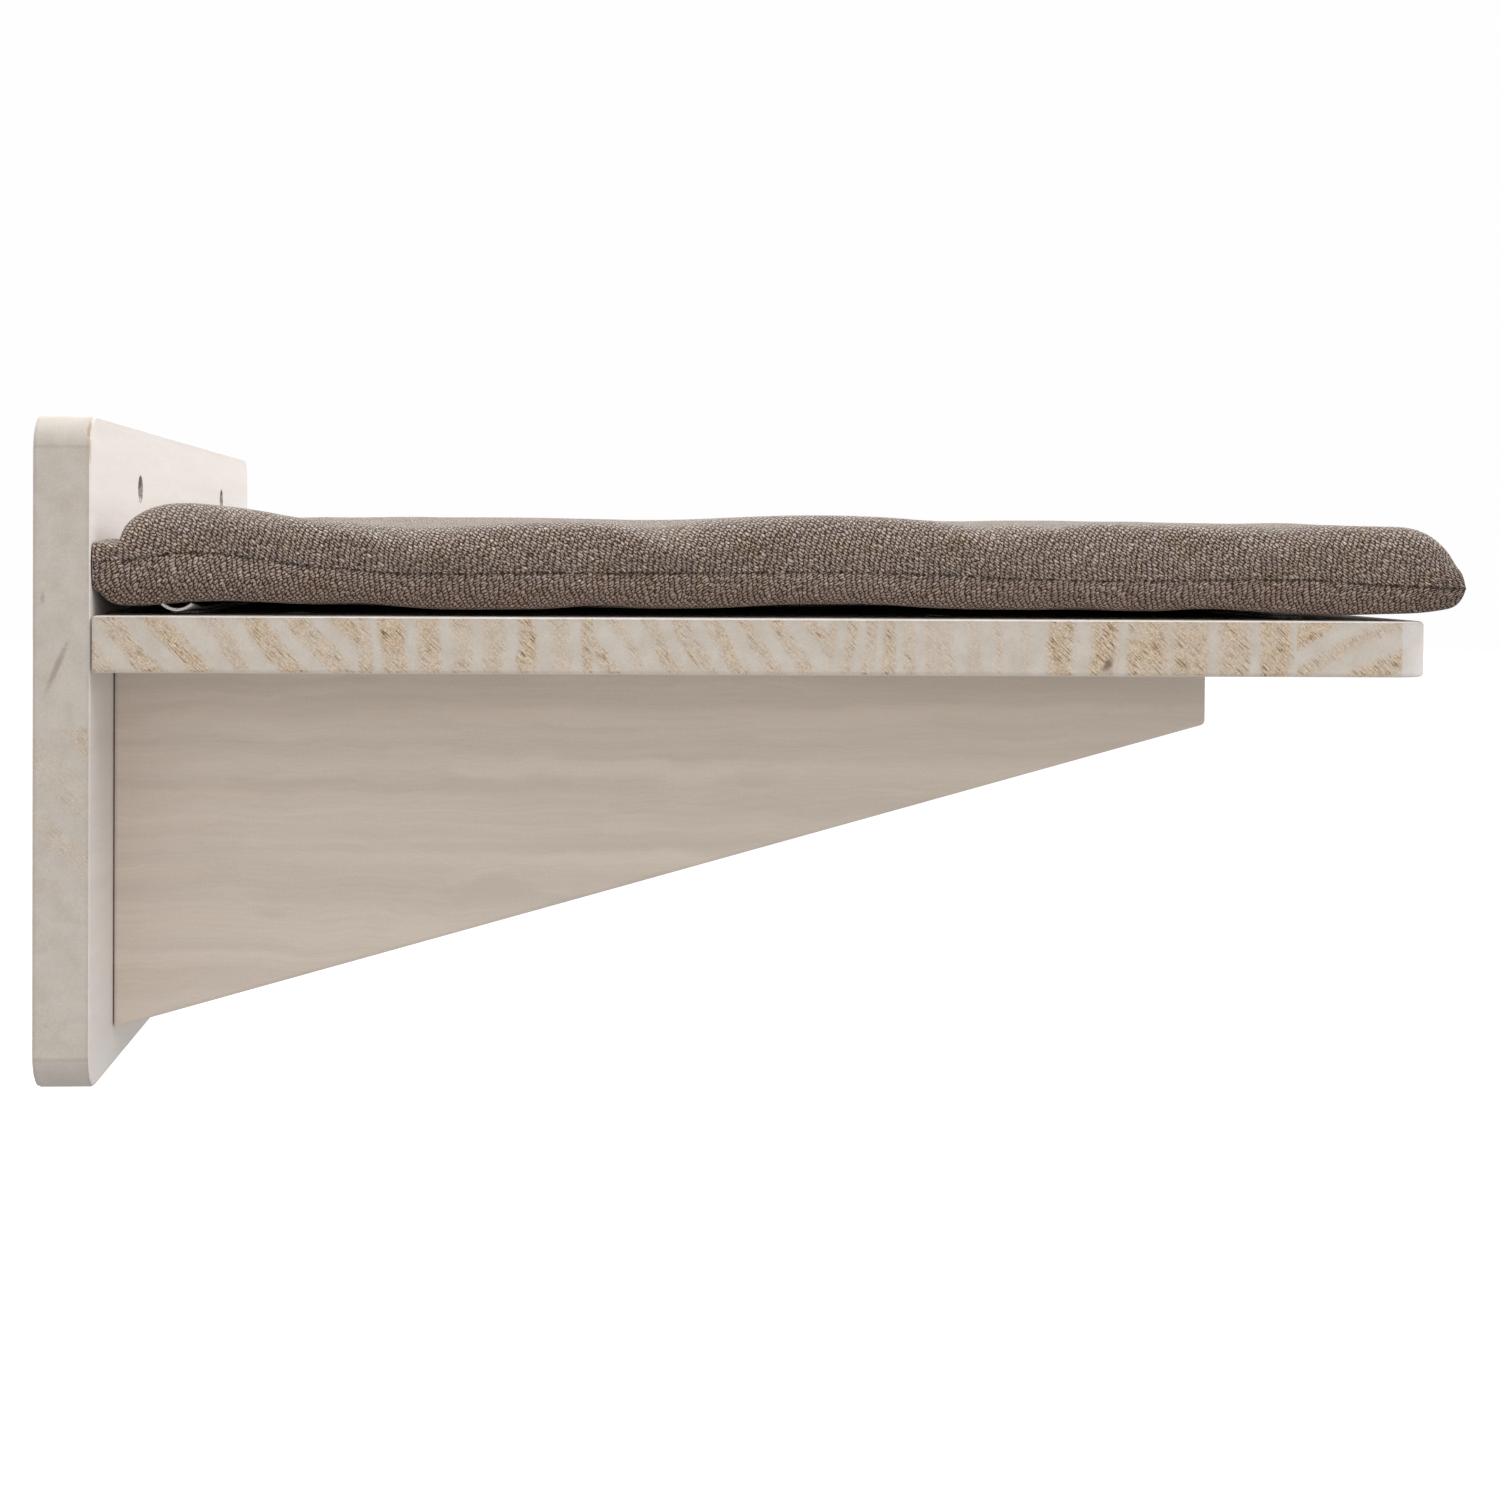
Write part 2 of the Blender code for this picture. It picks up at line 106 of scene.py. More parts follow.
def add(tree, kind, settings=None, inputs=None, stops=None):
    """Adds a shader node with its settings, then sets or links its inputs by name or number. A node
    given as an input is linked by its first output. Stops are a colour ramp's places and colours."""
    node = tree.nodes.new("ShaderNode" + kind)
    for name, value in (settings or {}).items():
        setattr(node, name, value)
    for socket, value in (inputs or {}).items():
        if isinstance(value, bpy.types.Node):
            value = value.outputs[0]
        if isinstance(value, bpy.types.NodeSocket):
            tree.links.new(value, node.inputs[socket])
        else:
            node.inputs[socket].default_value = value
    if stops:
        ramp = node.color_ramp.elements
        while len(ramp) < len(stops):
            ramp.new(1.0)
        for element, (position, colour) in zip(ramp, stops):
            element.position = position
            element.color = colour
    return node


def new_material(name):
    """An empty node material and its output node."""
    material = bpy.data.materials.new(name)
    material.use_nodes = True
    material.node_tree.nodes.clear()
    return material, material.node_tree, add(material.node_tree, "OutputMaterial")


scene.view_settings.view_transform = "Standard"
world = bpy.data.worlds.new("white_studio")
world.use_nodes = True
world.node_tree.nodes.clear()
sky_seen = add(world.node_tree, "Background", inputs={"Color": linear("#fffeff"), "Strength": 1.0})
outward = add(world.node_tree, "TexCoord")
outward_parts = add(world.node_tree, "SeparateXYZ", inputs={0: outward.outputs["Generated"]})
sky_strength = add(
    world.node_tree,
    "MapRange",
    inputs={0: outward_parts.outputs["Z"], 1: -0.25, 2: 0.25, 3: LIGHT_FROM_BELOW, 4: LIGHT_FROM_ABOVE},
)
sky_light = add(
    world.node_tree, "Background", inputs={"Color": linear("#fffdfb"), "Strength": sky_strength}
)
rays = add(world.node_tree, "LightPath")
sky = add(
    world.node_tree, "MixShader", inputs={0: rays.outputs["Is Camera Ray"], 1: sky_light, 2: sky_seen}
)
add(world.node_tree, "OutputWorld", inputs={"Surface": sky})
scene.world = world

bpy.ops.object.select_all(action="DESELECT")
bpy.ops.mesh.primitive_circle_add(
    vertices=96, radius=FLOOR_RADIUS, fill_type="NGON", location=(0, 0, cad_box[0][2] - FLOOR_DROP)
)
floor = bpy.context.object
floor.name = "studio_floor"
floor_paint, tree, output = new_material("matt_white_floor_paint")
paint = add(
    tree,
    "BsdfPrincipled",
    inputs={
        "Base Color": linear("#8c8b8b"),
        "Roughness": 0.9,
        "Specular IOR Level": 0.1,
        "Emission Color": linear("#fffeff"),
        "Emission Strength": FLOOR_GLOW,
    },
)
tree.links.new(paint.outputs[0], output.inputs["Surface"])
floor.data.materials.append(floor_paint)
floor.visible_diffuse = False
floor.visible_glossy = False

for name, place, size, power, colour in (
    ("soft_box_above", (0.30, 0.10, 1.40), (1.4, 1.4), 11.0, "#ffffff"),
    ("soft_box_off_the_free_end", (4.80, -0.40, 2.90), (3.5, 3.5), 96.0, "#fffafc"),
    ("soft_box_behind", (-0.10, 2.00, 1.10), (1.8, 1.2), 36.0, "#fcfffa"),
):
    lamp = bpy.data.lights.new(name, "AREA")
    lamp.shape = "RECTANGLE"
    lamp.size, lamp.size_y = size
    lamp.energy = power
    lamp.color = linear(colour)[:3]
    holder = bpy.data.objects.new(name, lamp)
    scene.collection.objects.link(holder)
    holder.location = place
    holder.rotation_euler = (LIT_PLACE - Vector(place)).to_track_quat("-Z", "Y").to_euler()


# The wall board is glued pine, 18 mm thick, planed, rounded at its corners and brushed with a thin
# white glaze. Its staves run along the wall, so its two upright ends show sawn end grain.
MM = 1000
SMOOTH = {"interpolation_type": "SMOOTHSTEP"}
BARE_PINE = "#e0c9ad"
SAW_MARK = "#97744e"
SAW_RIDGE = "#f3e4cb"
KNOT_BROWN = "#7a6450"
CHIP_TAN = "#cbb294"
# Painted shade for the sides of the fixing holes.
HOLE_SHADE_GREY = "#5f5751"
WORN_EDGE = "#e9cfb6"
CORNER_RADIUS = 12
HOLE_REACH = 5.4
STAVE_SPAN = 20
WANDER_SPAN = 26
WANDER_REACH = 7
RING_EDGE_SPAN = 1.8
PATCH_SPAN = 9
SAW_ANGLE = -46
SAW_SIZES = (0.40, 0.40, 5.0)
SAW_PATCH_SPAN = 5.5
FIBRE_SIZES = (60, 0.8)
BAND_SIZES = (240, 7)
PORE_SPAN = 0.55
WEAR_SPAN = 5
GRIT_SPAN = 0.5
ARRIS_RADIUS = 0.0008
GRAIN_RELIEF = 0.00022

# Each stave: where it starts across the board in mm, its rings' slope in degrees and spacing in mm,
# the share of soft early wood in a ring, and how bare the glaze leaves it.
WALL_STAVES = (
    (-107.5, 60, 12.0, 0.45, 0.06),
    (-44.0, 48, 15.0, 0.60, 0.30),
    (8.0, 95, 13.0, 0.40, 0.05),
)
WALL_TONES = ("#dfd8ce", "#d5ccc1", "#efebe8", "#e8e3df")

# In mm: where the board starts and ends across its staves, and the centres of its rounded corners
# and its fixing holes, up from the middle and along the wall. The corners are dimmed by a painted shade.
WALL_SPAN = (-107.5, 107.5)
WALL_CORNER = (95.5, 188, "#e8e4de")
WALL_HOLES = (85.5, 106)

# Each knot or chip: its middle in metres, its turn in degrees, its half sizes, and how strong it is,
# its tone and how soft its edge is. The two chips are on the near arris, above the cushion.
WALL_MARKS = (
    ((0.0078, -0.200, 0.0275), 23, (0.0012, 0.004, 0.0095), 0.42, KNOT_BROWN, 1.0),
    ((0.0033, -0.200, 0.0490), 0, (0.0008, 0.003, 0.0022), 0.30, KNOT_BROWN, 1.0),
    ((0.0174, -0.198, 0.1040), 0, (0.0008, 0.003, 0.0046), 0.85, CHIP_TAN, 0.5),
    ((0.0179, -0.200, 0.0965), 0, (0.0004, 0.002, 0.0060), 0.75, CHIP_TAN, 0.5),
)


def bare_rings(tree, in_mm, stretched, edge_noise, axes, span, staves):
    """How bare the glaze leaves the soft early wood of the growth rings. A ramp across the board
    holds the slope, spacing, early share and bareness of each stave as a colour."""
    across, through, along = axes
    low, high = span
    true = add(tree, "SeparateXYZ", inputs={0: in_mm})
    grown = add(tree, "SeparateXYZ", inputs={0: stretched})
    stave_place = add(tree, "MapRange", inputs={0: true.outputs[across], 1: low, 2: high, 3: 0.0, 4: 1.0})
    stave = add(
        tree,
        "ValToRGB",
        inputs={0: stave_place},
        stops=[
            ((start - low) / (high - low), (slope / 180, spacing / STAVE_SPAN, share, strength))
            for start, slope, spacing, share, strength in staves
        ],
    )
    stave.color_ramp.interpolation = "CONSTANT"
    habit = add(tree, "SeparateColor", inputs={0: stave.outputs["Color"]})
    slope = add(tree, "Math", {"operation": "MULTIPLY"}, {0: habit, 1: math.pi})
    slope_sine = add(tree, "Math", {"operation": "SINE"}, {0: slope})
    slope_cosine = add(tree, "Math", {"operation": "COSINE"}, {0: slope})
    part_across = add(tree, "Math", {"operation": "MULTIPLY"}, {0: grown.outputs[across], 1: slope_sine})
    depth = add(
        tree,
        "Math",
        {"operation": "MULTIPLY_ADD"},
        {0: grown.outputs[through], 1: slope_cosine, 2: part_across},
    )
    spacing = add(tree, "Math", {"operation": "MULTIPLY"}, {0: habit.outputs[1], 1: STAVE_SPAN})
    ring = add(tree, "Math", {"operation": "DIVIDE"}, {0: depth, 1: spacing})
    in_ring = add(tree, "Math", {"operation": "PINGPONG"}, {0: ring, 1: 0.5})
    ragged = add(tree, "Math", {"operation": "MULTIPLY_ADD"}, {0: edge_noise, 1: 0.60, 2: -0.30})
    ring_place = add(tree, "Math", {"operation": "MULTIPLY_ADD"}, {0: in_ring, 1: 2.0, 2: ragged})

    # No two rings have the same share of early wood or the same bareness.
    ring_number = add(tree, "Math", {"operation": "ROUND"}, {0: ring})
    ring_name = add(tree, "Math", {"operation": "ADD"}, {0: ring_number, 1: habit})
    season = add(tree, "TexWhiteNoise", {"noise_dimensions": "1D"}, {"W": ring_name})
    season_parts = add(tree, "SeparateColor", inputs={0: season.outputs["Color"]})
    season_share = add(
        tree, "Math", {"operation": "MULTIPLY_ADD"}, {0: season_parts, 1: 0.34, 2: habit.outputs[2]}
    )
    season_width = add(tree, "Math", {"operation": "SUBTRACT"}, {0: season_share, 1: 0.17})
    late = add(tree, "Math", {"operation": "SUBTRACT"}, {0: season_width, 1: ring_place})
    early = add(tree, "MapRange", SMOOTH, {0: late, 1: -0.26, 2: 0.26, 3: 0.0, 4: 1.0})
    patchy = add(
        tree,
        "TexNoise",
        inputs={"Vector": in_mm, "Scale": 1 / PATCH_SPAN, "Detail": 4.0, "Roughness": 0.65},
    )
    patch = add(tree, "MapRange", inputs={0: patchy, 1: 0.32, 2: 0.62, 3: 0.35, 4: 1.0})
    season_strength = add(
        tree, "MapRange", inputs={0: season_parts.outputs[1], 1: 0.0, 2: 1.0, 3: 0.55, 4: 1.15}
    )
    stave_strength = add(
        tree, "Math", {"operation": "MULTIPLY"}, {0: stave.outputs["Alpha"], 1: season_strength}
    )
    bare_strength = add(tree, "Math", {"operation": "MULTIPLY"}, {0: stave_strength, 1: patch})
    return add(tree, "Math", {"operation": "MULTIPLY"}, {0: early, 1: bare_strength})


def folded_from(tree, in_mm, axes, point):
    """Places folded onto one quarter of a board and counted from a point on it, across and along."""
    back = [0, 0, 0]
    back["XYZ".index(axes[0])] = -point[0]
    back["XYZ".index(axes[2])] = -point[1]
    in_plane = [1, 1, 1]
    in_plane["XYZ".index(axes[1])] = 0
    folded = add(tree, "VectorMath", {"operation": "ABSOLUTE"}, {0: in_mm})
    counted = add(tree, "VectorMath", {"operation": "ADD"}, {0: folded, 1: back})
    return add(tree, "VectorMath", {"operation": "MULTIPLY"}, {0: counted, 1: in_plane})


def edge_part(tree, through):
    """How squarely a face looks through the board: 1 on its planed faces and 0 on its edges."""
    normal = add(tree, "NewGeometry").outputs["Normal"]
    parts = add(tree, "SeparateXYZ", inputs={0: normal})
    return add(tree, "Math", {"operation": "ABSOLUTE"}, {0: parts.outputs[through]})


def rounded_corners(tree, in_mm, axes, centre):
    """The rounded corners are many-sided in the mesh, so their light turns about the true centre.
    Gives the normal to shade with, and where a corner turns."""
    across, through, along = axes
    normal = add(tree, "NewGeometry").outputs["Normal"]
    from_centre = folded_from(tree, in_mm, axes, centre)
    outside = add(tree, "VectorMath", {"operation": "MAXIMUM"}, {0: from_centre, 1: (0, 0, 0)})
    quarter = add(tree, "VectorMath", {"operation": "SIGN"}, {0: in_mm})
    radial = add(tree, "VectorMath", {"operation": "MULTIPLY"}, {0: outside, 1: quarter})
    turned = add(tree, "VectorMath", {"operation": "NORMALIZE"}, {0: radial})
    reach = add(tree, "VectorMath", {"operation": "LENGTH"}, {0: outside})
    at_rim = add(
        tree, "Math", {"operation": "GREATER_THAN"}, {0: reach.outputs["Value"], 1: CORNER_RADIUS - 1}
    )
    on_edge = add(tree, "Math", {"operation": "LESS_THAN"}, {0: edge_part(tree, through), 1: 0.5})
    rounded = add(tree, "Math", {"operation": "MULTIPLY"}, {0: at_rim, 1: on_edge})
    smoothed = add(tree, "Mix", {"data_type": "VECTOR"}, {0: rounded, 4: normal, 5: turned})
    reaches = add(tree, "SeparateXYZ", inputs={0: outside})
    both = add(
        tree, "Math", {"operation": "MINIMUM"}, {0: reaches.outputs[across], 1: reaches.outputs[along]}
    )
    turning = add(tree, "MapRange", inputs={0: both, 1: 0.2, 2: 1.5, 3: 0.0, 4: 1.0})
    on_corner = add(tree, "Math", {"operation": "MULTIPLY"}, {0: turning, 1: rounded})
    return smoothed.outputs[1], on_corner


def saw_cuts(tree, in_mm, rough_end, along):
    """The saw's slanting scratches over rough end grain: how dark they are, and how light between."""
    saw_angle = math.radians(SAW_ANGLE)
    turned = add(
        tree,
        "Mapping",
        {"vector_type": "TEXTURE"},
        {
            "Vector": in_mm,
            "Rotation": (saw_angle, 0, 0) if along == "X" else (0, saw_angle, 0),
            "Scale": SAW_SIZES,
        },
    )
    lines = add(tree, "TexNoise", inputs={"Vector": turned, "Scale": 1.0, "Detail": 2.0, "Roughness": 0.5})
    mark = add(tree, "MapRange", SMOOTH, {0: lines, 1: 0.53, 2: 0.65, 3: 0.0, 4: 1.0})
    ridge = add(tree, "MapRange", SMOOTH, {0: lines, 1: 0.46, 2: 0.36, 3: 0.0, 4: 0.75})
    patches = add(
        tree,
        "TexNoise",
        inputs={"Vector": in_mm, "Scale": 1 / SAW_PATCH_SPAN, "Detail": 3.0, "Roughness": 0.6},
    )
    depth = add(tree, "MapRange", SMOOTH, {0: patches, 1: 0.36, 2: 0.60, 3: 0.35, 4: 1.25})
    share = add(tree, "Math", {"operation": "MULTIPLY"}, {0: depth, 1: rough_end})
    dark = add(tree, "Math", {"operation": "MULTIPLY"}, {0: mark, 1: share})
    light = add(tree, "Math", {"operation": "MULTIPLY"}, {0: ridge, 1: share})
    return dark, light


def streaks(tree, stretched, along, sizes, detail, roughness):
    """Noise drawn out along the grain: sizes are its length and its width in mm."""
    scale = [1 / sizes[0] if letter == along else 1 / sizes[1] for letter in "XYZ"]
    place = add(tree, "Mapping", inputs={"Vector": stretched, "Scale": scale})
    return add(
        tree, "TexNoise", inputs={"Vector": place, "Scale": 1.0, "Detail": detail, "Roughness": roughness}
    )


def glaze_colour(tree, fibres, bands, end_grain, tones):
    """The glaze clouds between two tones along the grain, one pair on sawn ends and one on faces."""
    cloudy = add(tree, "Math", {"operation": "MULTIPLY_ADD"}, {0: fibres, 1: 0.35, 2: bands})
    cloud = add(tree, "MapRange", inputs={0: cloudy, 1: 0.52, 2: 0.86, 3: 0.0, 4: 1.0})
    on_ends, on_faces = [
        add(tree, "Mix", {"data_type": "RGBA"}, {0: cloud, 6: linear(first), 7: linear(second)})
        for first, second in (tones[:2], tones[2:])
    ]
    glaze = add(
        tree, "Mix", {"data_type": "RGBA"}, {0: end_grain, 6: on_faces.outputs[2], 7: on_ends.outputs[2]}
    )
    return glaze.outputs[2]


def laid_over(tree, colour, layers):
    """A colour with tones laid over it in turn, each where its share is."""
    for share, tone in layers:
        mixed = add(tree, "Mix", {"data_type": "RGBA"}, {0: share, 6: colour, 7: linear(tone)})
        colour = mixed.outputs[2]
    return colour


def in_fixing_holes(tree, in_mm, edge_noise, axes, drilled):
    """The fixing holes are drilled through the glaze, and their sides take a patchy painted shade of dark
    grey.
    """
    around_axis = folded_from(tree, in_mm, axes, drilled)
    distance = add(tree, "VectorMath", {"operation": "LENGTH"}, {0: around_axis})
    at_hole = add(tree, "Math", {"operation": "LESS_THAN"}, {0: distance.outputs["Value"], 1: HOLE_REACH})
    not_flat = add(tree, "Math", {"operation": "LESS_THAN"}, {0: edge_part(tree, axes[1]), 1: 0.95})
    in_hole = add(tree, "Math", {"operation": "MULTIPLY"}, {0: at_hole, 1: not_flat})
    # The painted shade in the holes is patchy.
    patchy_hole_shade = add(tree, "MapRange", inputs={0: edge_noise, 1: 0.3, 2: 0.7, 3: 0.40, 4: 1.0})
    return add(tree, "Math", {"operation": "MULTIPLY"}, {0: in_hole, 1: patchy_hole_shade})


def in_mark(tree, place, edge_noise, centre, turn, half_sizes, strength, softness):
    """Where a knot or a chip is. Its outline is an ellipsoid's with a ragged edge."""
    from_centre = add(
        tree,
        "Mapping",
        {"vector_type": "TEXTURE"},
        {
            "Vector": place.outputs["Object"],
            "Location": centre,
            "Rotation": (0, math.radians(turn), 0),
            "Scale": half_sizes,
        },
    )
    distance = add(tree, "VectorMath", {"operation": "LENGTH"}, {0: from_centre})
    edge = add(
        tree, "Math", {"operation": "MULTIPLY_ADD"}, {0: edge_noise, 1: 0.9, 2: distance.outputs["Value"]}
    )
    inner, outer = 1.35 - 0.65 * softness, 1.35 + 0.35 * softness
    return add(tree, "MapRange", SMOOTH, {0: edge, 1: inner, 2: outer, 3: strength, 4: 0.0})


def worn_edges(tree, in_mm):
    """Where sanding and handling have rubbed the glaze off the arrises, in patches."""
    normal = add(tree, "NewGeometry").outputs["Normal"]
    soft_edge = add(tree, "Bevel", {"samples": 6}, {"Radius": ARRIS_RADIUS})
    turn = add(tree, "VectorMath", {"operation": "DOT_PRODUCT"}, {0: soft_edge, 1: normal})
    worn = add(tree, "MapRange", inputs={0: turn.outputs["Value"], 1: 0.965, 2: 0.82, 3: 0.0, 4: 1.0})
    patchy = add(
        tree, "TexNoise", inputs={"Vector": in_mm, "Scale": 1 / WEAR_SPAN, "Detail": 4.0, "Roughness": 0.7}
    )
    patch = add(tree, "MapRange", inputs={0: patchy, 1: 0.44, 2: 0.68, 3: 0.05, 4: 0.60})
    return add(tree, "Math", {"operation": "MULTIPLY"}, {0: worn, 1: patch})


def glazed_pine(name, axes, span, staves, tones, marks=(), corner=None, sawn=(0.75, 0.97), drilled=None):
    """White-glazed glued pine. The glaze lies thin and even on planed faces, and on sawn end grain it
    leaves the soft early wood of each ring bare, rough and yellow between smooth white late wood.
    axes gives the letters of the directions across the staves, through the board and along the grain,
    and tones the glaze's two shades on the sawn ends and then its two shades on the planed faces.
    corner is where a rounded corner turns about, across and along, and the tone of painted shade laid
    over it, sawn how squarely a face must look along the grain to show rings, and drilled where fixing
    holes are, across and along, whose sides take painted shade."""
    material, tree, output = new_material(name)
    along = axes[2]
    place = add(tree, "TexCoord")
    in_mm = add(tree, "VectorMath", {"operation": "SCALE"}, {0: place.outputs["Object"], "Scale": MM})
    wander = add(
        tree,
        "TexNoise",
        inputs={"Vector": in_mm, "Scale": 1 / WANDER_SPAN, "Detail": 2.0, "Roughness": 0.5},
    )
    shift = add(
        tree,
        "VectorMath",
        {"operation": "MULTIPLY_ADD"},
        {0: wander.outputs["Color"], 1: [WANDER_REACH] * 3, 2: [-WANDER_REACH / 2] * 3},
    )
    stretched = add(tree, "VectorMath", {"operation": "ADD"}, {0: in_mm, 1: shift})
    edge_noise = add(
        tree,
        "TexNoise",
        inputs={"Vector": in_mm, "Scale": 1 / RING_EDGE_SPAN, "Detail": 3.0, "Roughness": 0.6},
    )
    bare = bare_rings(tree, in_mm, stretched, edge_noise, axes, span, staves)

    normal = add(tree, "NewGeometry").outputs["Normal"]
    if corner:
        normal, on_corner = rounded_corners(tree, in_mm, axes, corner[:2])
    facing = add(tree, "SeparateXYZ", inputs={0: normal})
    end_face = add(tree, "Math", {"operation": "ABSOLUTE"}, {0: facing.outputs[along]})
    end_grain = add(tree, "MapRange", SMOOTH, {0: end_face, 1: sawn[0], 2: sawn[1], 3: 0.0, 4: 1.0})
    rough_end = add(tree, "Math", {"operation": "MULTIPLY"}, {0: bare, 1: end_grain})
    saw_dark, saw_light = saw_cuts(tree, in_mm, rough_end, along)
    fibres = streaks(tree, stretched, along, FIBRE_SIZES, 5.0, 0.6)
    bands = streaks(tree, stretched, along, BAND_SIZES, 3.0, 0.55)

    face_tint = add(tree, "Math", {"operation": "MULTIPLY"}, {0: bare, 1: 0.22})
    tint = add(tree, "Mix", {"data_type": "FLOAT"}, {0: end_grain, 2: face_tint, 3: bare})
    colour = laid_over(
        tree,
        glaze_colour(tree, fibres, bands, end_grain, tones),
        ((tint, BARE_PINE), (saw_light, SAW_RIDGE), (saw_dark, SAW_MARK)),
    )
    pores = add(
        tree, "TexNoise", inputs={"Vector": in_mm, "Scale": 1 / PORE_SPAN, "Detail": 2.0, "Roughness": 0.7}
    )
    pore_reach = add(tree, "MapRange", inputs={0: rough_end, 1: 0.0, 2: 1.0, 3: 0.05, 4: 0.34})
    pore_level = add(tree, "MapRange", inputs={0: pores, 1: 0.30, 2: 0.70, 3: 1.0, 4: -1.0})
    pore_shade = add(tree, "Math", {"operation": "MULTIPLY_ADD"}, {0: pore_level, 1: pore_reach, 2: 1.0})
    with_pores = add(tree, "VectorMath", {"operation": "SCALE"}, {0: colour, "Scale": pore_shade})
    colour = with_pores.outputs[0]
    # A painted shade dims the rounded corners, multiplied in by the corner's tone.
    if corner:
        corner_shade = add(
            tree,
            "Mix",
            {"data_type": "RGBA", "blend_type": "MULTIPLY"},
            {0: on_corner, 6: colour, 7: linear(corner[2])},
        )
        colour = corner_shade.outputs[2]
    layers = []
    if drilled:
        layers.append((in_fixing_holes(tree, in_mm, edge_noise, axes, drilled), HOLE_SHADE_GREY))
    for centre, turn, half_sizes, strength, tone, softness in marks:
        layers.append((in_mark(tree, place, edge_noise, centre, turn, half_sizes, strength, softness), tone))
    layers.append((worn_edges(tree, in_mm), WORN_EDGE))
    colour = laid_over(tree, colour, layers)

    grit = add(
        tree, "TexNoise", inputs={"Vector": in_mm, "Scale": 1 / GRIT_SPAN, "Detail": 3.0, "Roughness": 0.7}
    )
    saw_height = add(tree, "Math", {"operation": "MULTIPLY"}, {0: saw_dark, 1: -0.8})
    grit_height = add(tree, "Math", {"operation": "MULTIPLY_ADD"}, {0: grit, 1: rough_end, 2: saw_height})
    height = add(tree, "Math", {"operation": "MULTIPLY_ADD"}, {0: fibres, 1: 0.35, 2: grit_height})
    relief = add(
        tree, "Bump", inputs={"Strength": 0.8, "Distance": GRAIN_RELIEF, "Height": height, "Normal": normal}
    )
    roughness = add(tree, "MapRange", inputs={0: rough_end, 1: 0.0, 2: 1.0, 3: 0.52, 4: 0.88})
    wood = add(
        tree,
        "BsdfPrincipled",
        inputs={
            "Base Color": colour,
            "Roughness": roughness,
            "Normal": relief,
            "IOR": 1.5,
            "Specular IOR Level": 0.35,
        },
    )
    tree.links.new(wood.outputs[0], output.inputs["Surface"])
    return material


def finish_node(node_name, material):
    """Gives a piece of the frame its material."""
    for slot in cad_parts[node_name].material_slots:
        slot.material = material


wall_pine = glazed_pine(
    "brushed_white_glaze_on_glued_pine_wall",
    "ZXY",
    WALL_SPAN,
    WALL_STAVES,
    WALL_TONES,
    WALL_MARKS,
    corner=WALL_CORNER,
    sawn=(0.985, 0.998),
    drilled=WALL_HOLES,
)
finish_node("wall_board", wall_pine)


# The shelf board is glued pine of the same thickness, screwed to the wall board from behind. Its
# staves run along the wall too, so its long sides show end grain, one stave of rings after another.
SHELF_STAVES = (
    (18.3, 50, 11.4, 0.58, 0.90),
    (100.7, 88, 10.4, 0.60, 0.85),
    (176.1, 57, 8.8, 0.50, 0.72),
    (250.5, 90, 6.6, 0.50, 0.60),
    (285.0, 90, 9.0, 0.40, 0.35),
    (320.4, 91, 13.6, 0.76, 1.00),
    (401.4, 151, 11.5, 0.55, 0.90),
)
SHELF_TONES = ("#e7ded4", "#dcd2c5", "#efebe8", "#e6e0da")
SHELF_SPAN = (18.3, 448.3)
SHELF_CORNER = (436.3, 188, "#ffffff")
SHELF_MARKS = (((0.3414, -0.200, 0.0293), 35, (0.0016, 0.004, 0.0028), 0.8, KNOT_BROWN, 1.0),)

shelf_pine = glazed_pine(
    "brushed_white_glaze_on_glued_pine_shelf",
    "XZY",
    SHELF_SPAN,
    SHELF_STAVES,
    SHELF_TONES,
    SHELF_MARKS,
    corner=SHELF_CORNER,
    sawn=(0.992, 0.999),
)
finish_node("shelf_board", shelf_pine)


# The two brackets are cut from the same board with the grain along them, out from the wall. The
# sawn slope under each is end grain at its tip and long grain at its foot.
BRACKET_TONES = ("#e6ddd2", "#dad0c3", "#ecdfd2", "#ddd1c5")
BRACKET_SPAN = (-95.0, 25.2)
BRACKET_STAVES = (
    (-95.0, 70, 16.0, 0.45, 0.35),
    (-30.0, 110, 13.0, 0.50, 0.45),
)

bracket_pine = glazed_pine(
    "brushed_white_glaze_on_glued_pine_bracket",
    "ZYX",
    BRACKET_SPAN,
    BRACKET_STAVES,
    BRACKET_TONES,
)
finish_node("bracket_left", bracket_pine)
finish_node("bracket_right", bracket_pine)


# The screws are 4 mm countersunk wood screws of rolled steel, plated with zinc. They hold the shelf
# and the brackets from behind and the shelf down onto the brackets, and their heads show.
ZINC = "#c9c8c4"
PLATING_SPAN = 1 / 1200
PLATING_RELIEF = 0.00004

zinc_plate, tree, output = new_material("bright_zinc_plated_steel")
place = add(tree, "TexCoord")
turning = add(
    tree,
    "TexNoise",
    inputs={"Vector": place.outputs["Object"], "Scale": 1 / PLATING_SPAN, "Detail": 3.0, "Roughness": 0.6},
)
dullness = add(tree, "MapRange", inputs={0: turning, 1: 0.3, 2: 0.7, 3: 0.26, 4: 0.42})
scuffs = add(tree, "Bump", inputs={"Strength": 0.4, "Distance": PLATING_RELIEF, "Height": turning})
plating = add(
    tree,
    "BsdfPrincipled",
    inputs={"Base Color": linear(ZINC), "Metallic": 1.0, "Roughness": dullness, "Normal": scuffs},
)
tree.links.new(plating.outputs[0], output.inputs["Surface"])
for node_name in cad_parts:
    if "screw" in node_name:
        finish_node(node_name, zinc_plate)


# The tape is woven nylon, 10 mm wide. The hook half is glued to the shelf and the loop half is sewn
# under the cushion along its edges, and the near end of the rear loop strip bows down between them.
TAPE_THREAD = 0.45
HOOK_PITCH = 1.4
LOOP_PITCH = 0.8
HOOK_HEIGHT = 0.0006
LOOP_HEIGHT = 0.0003


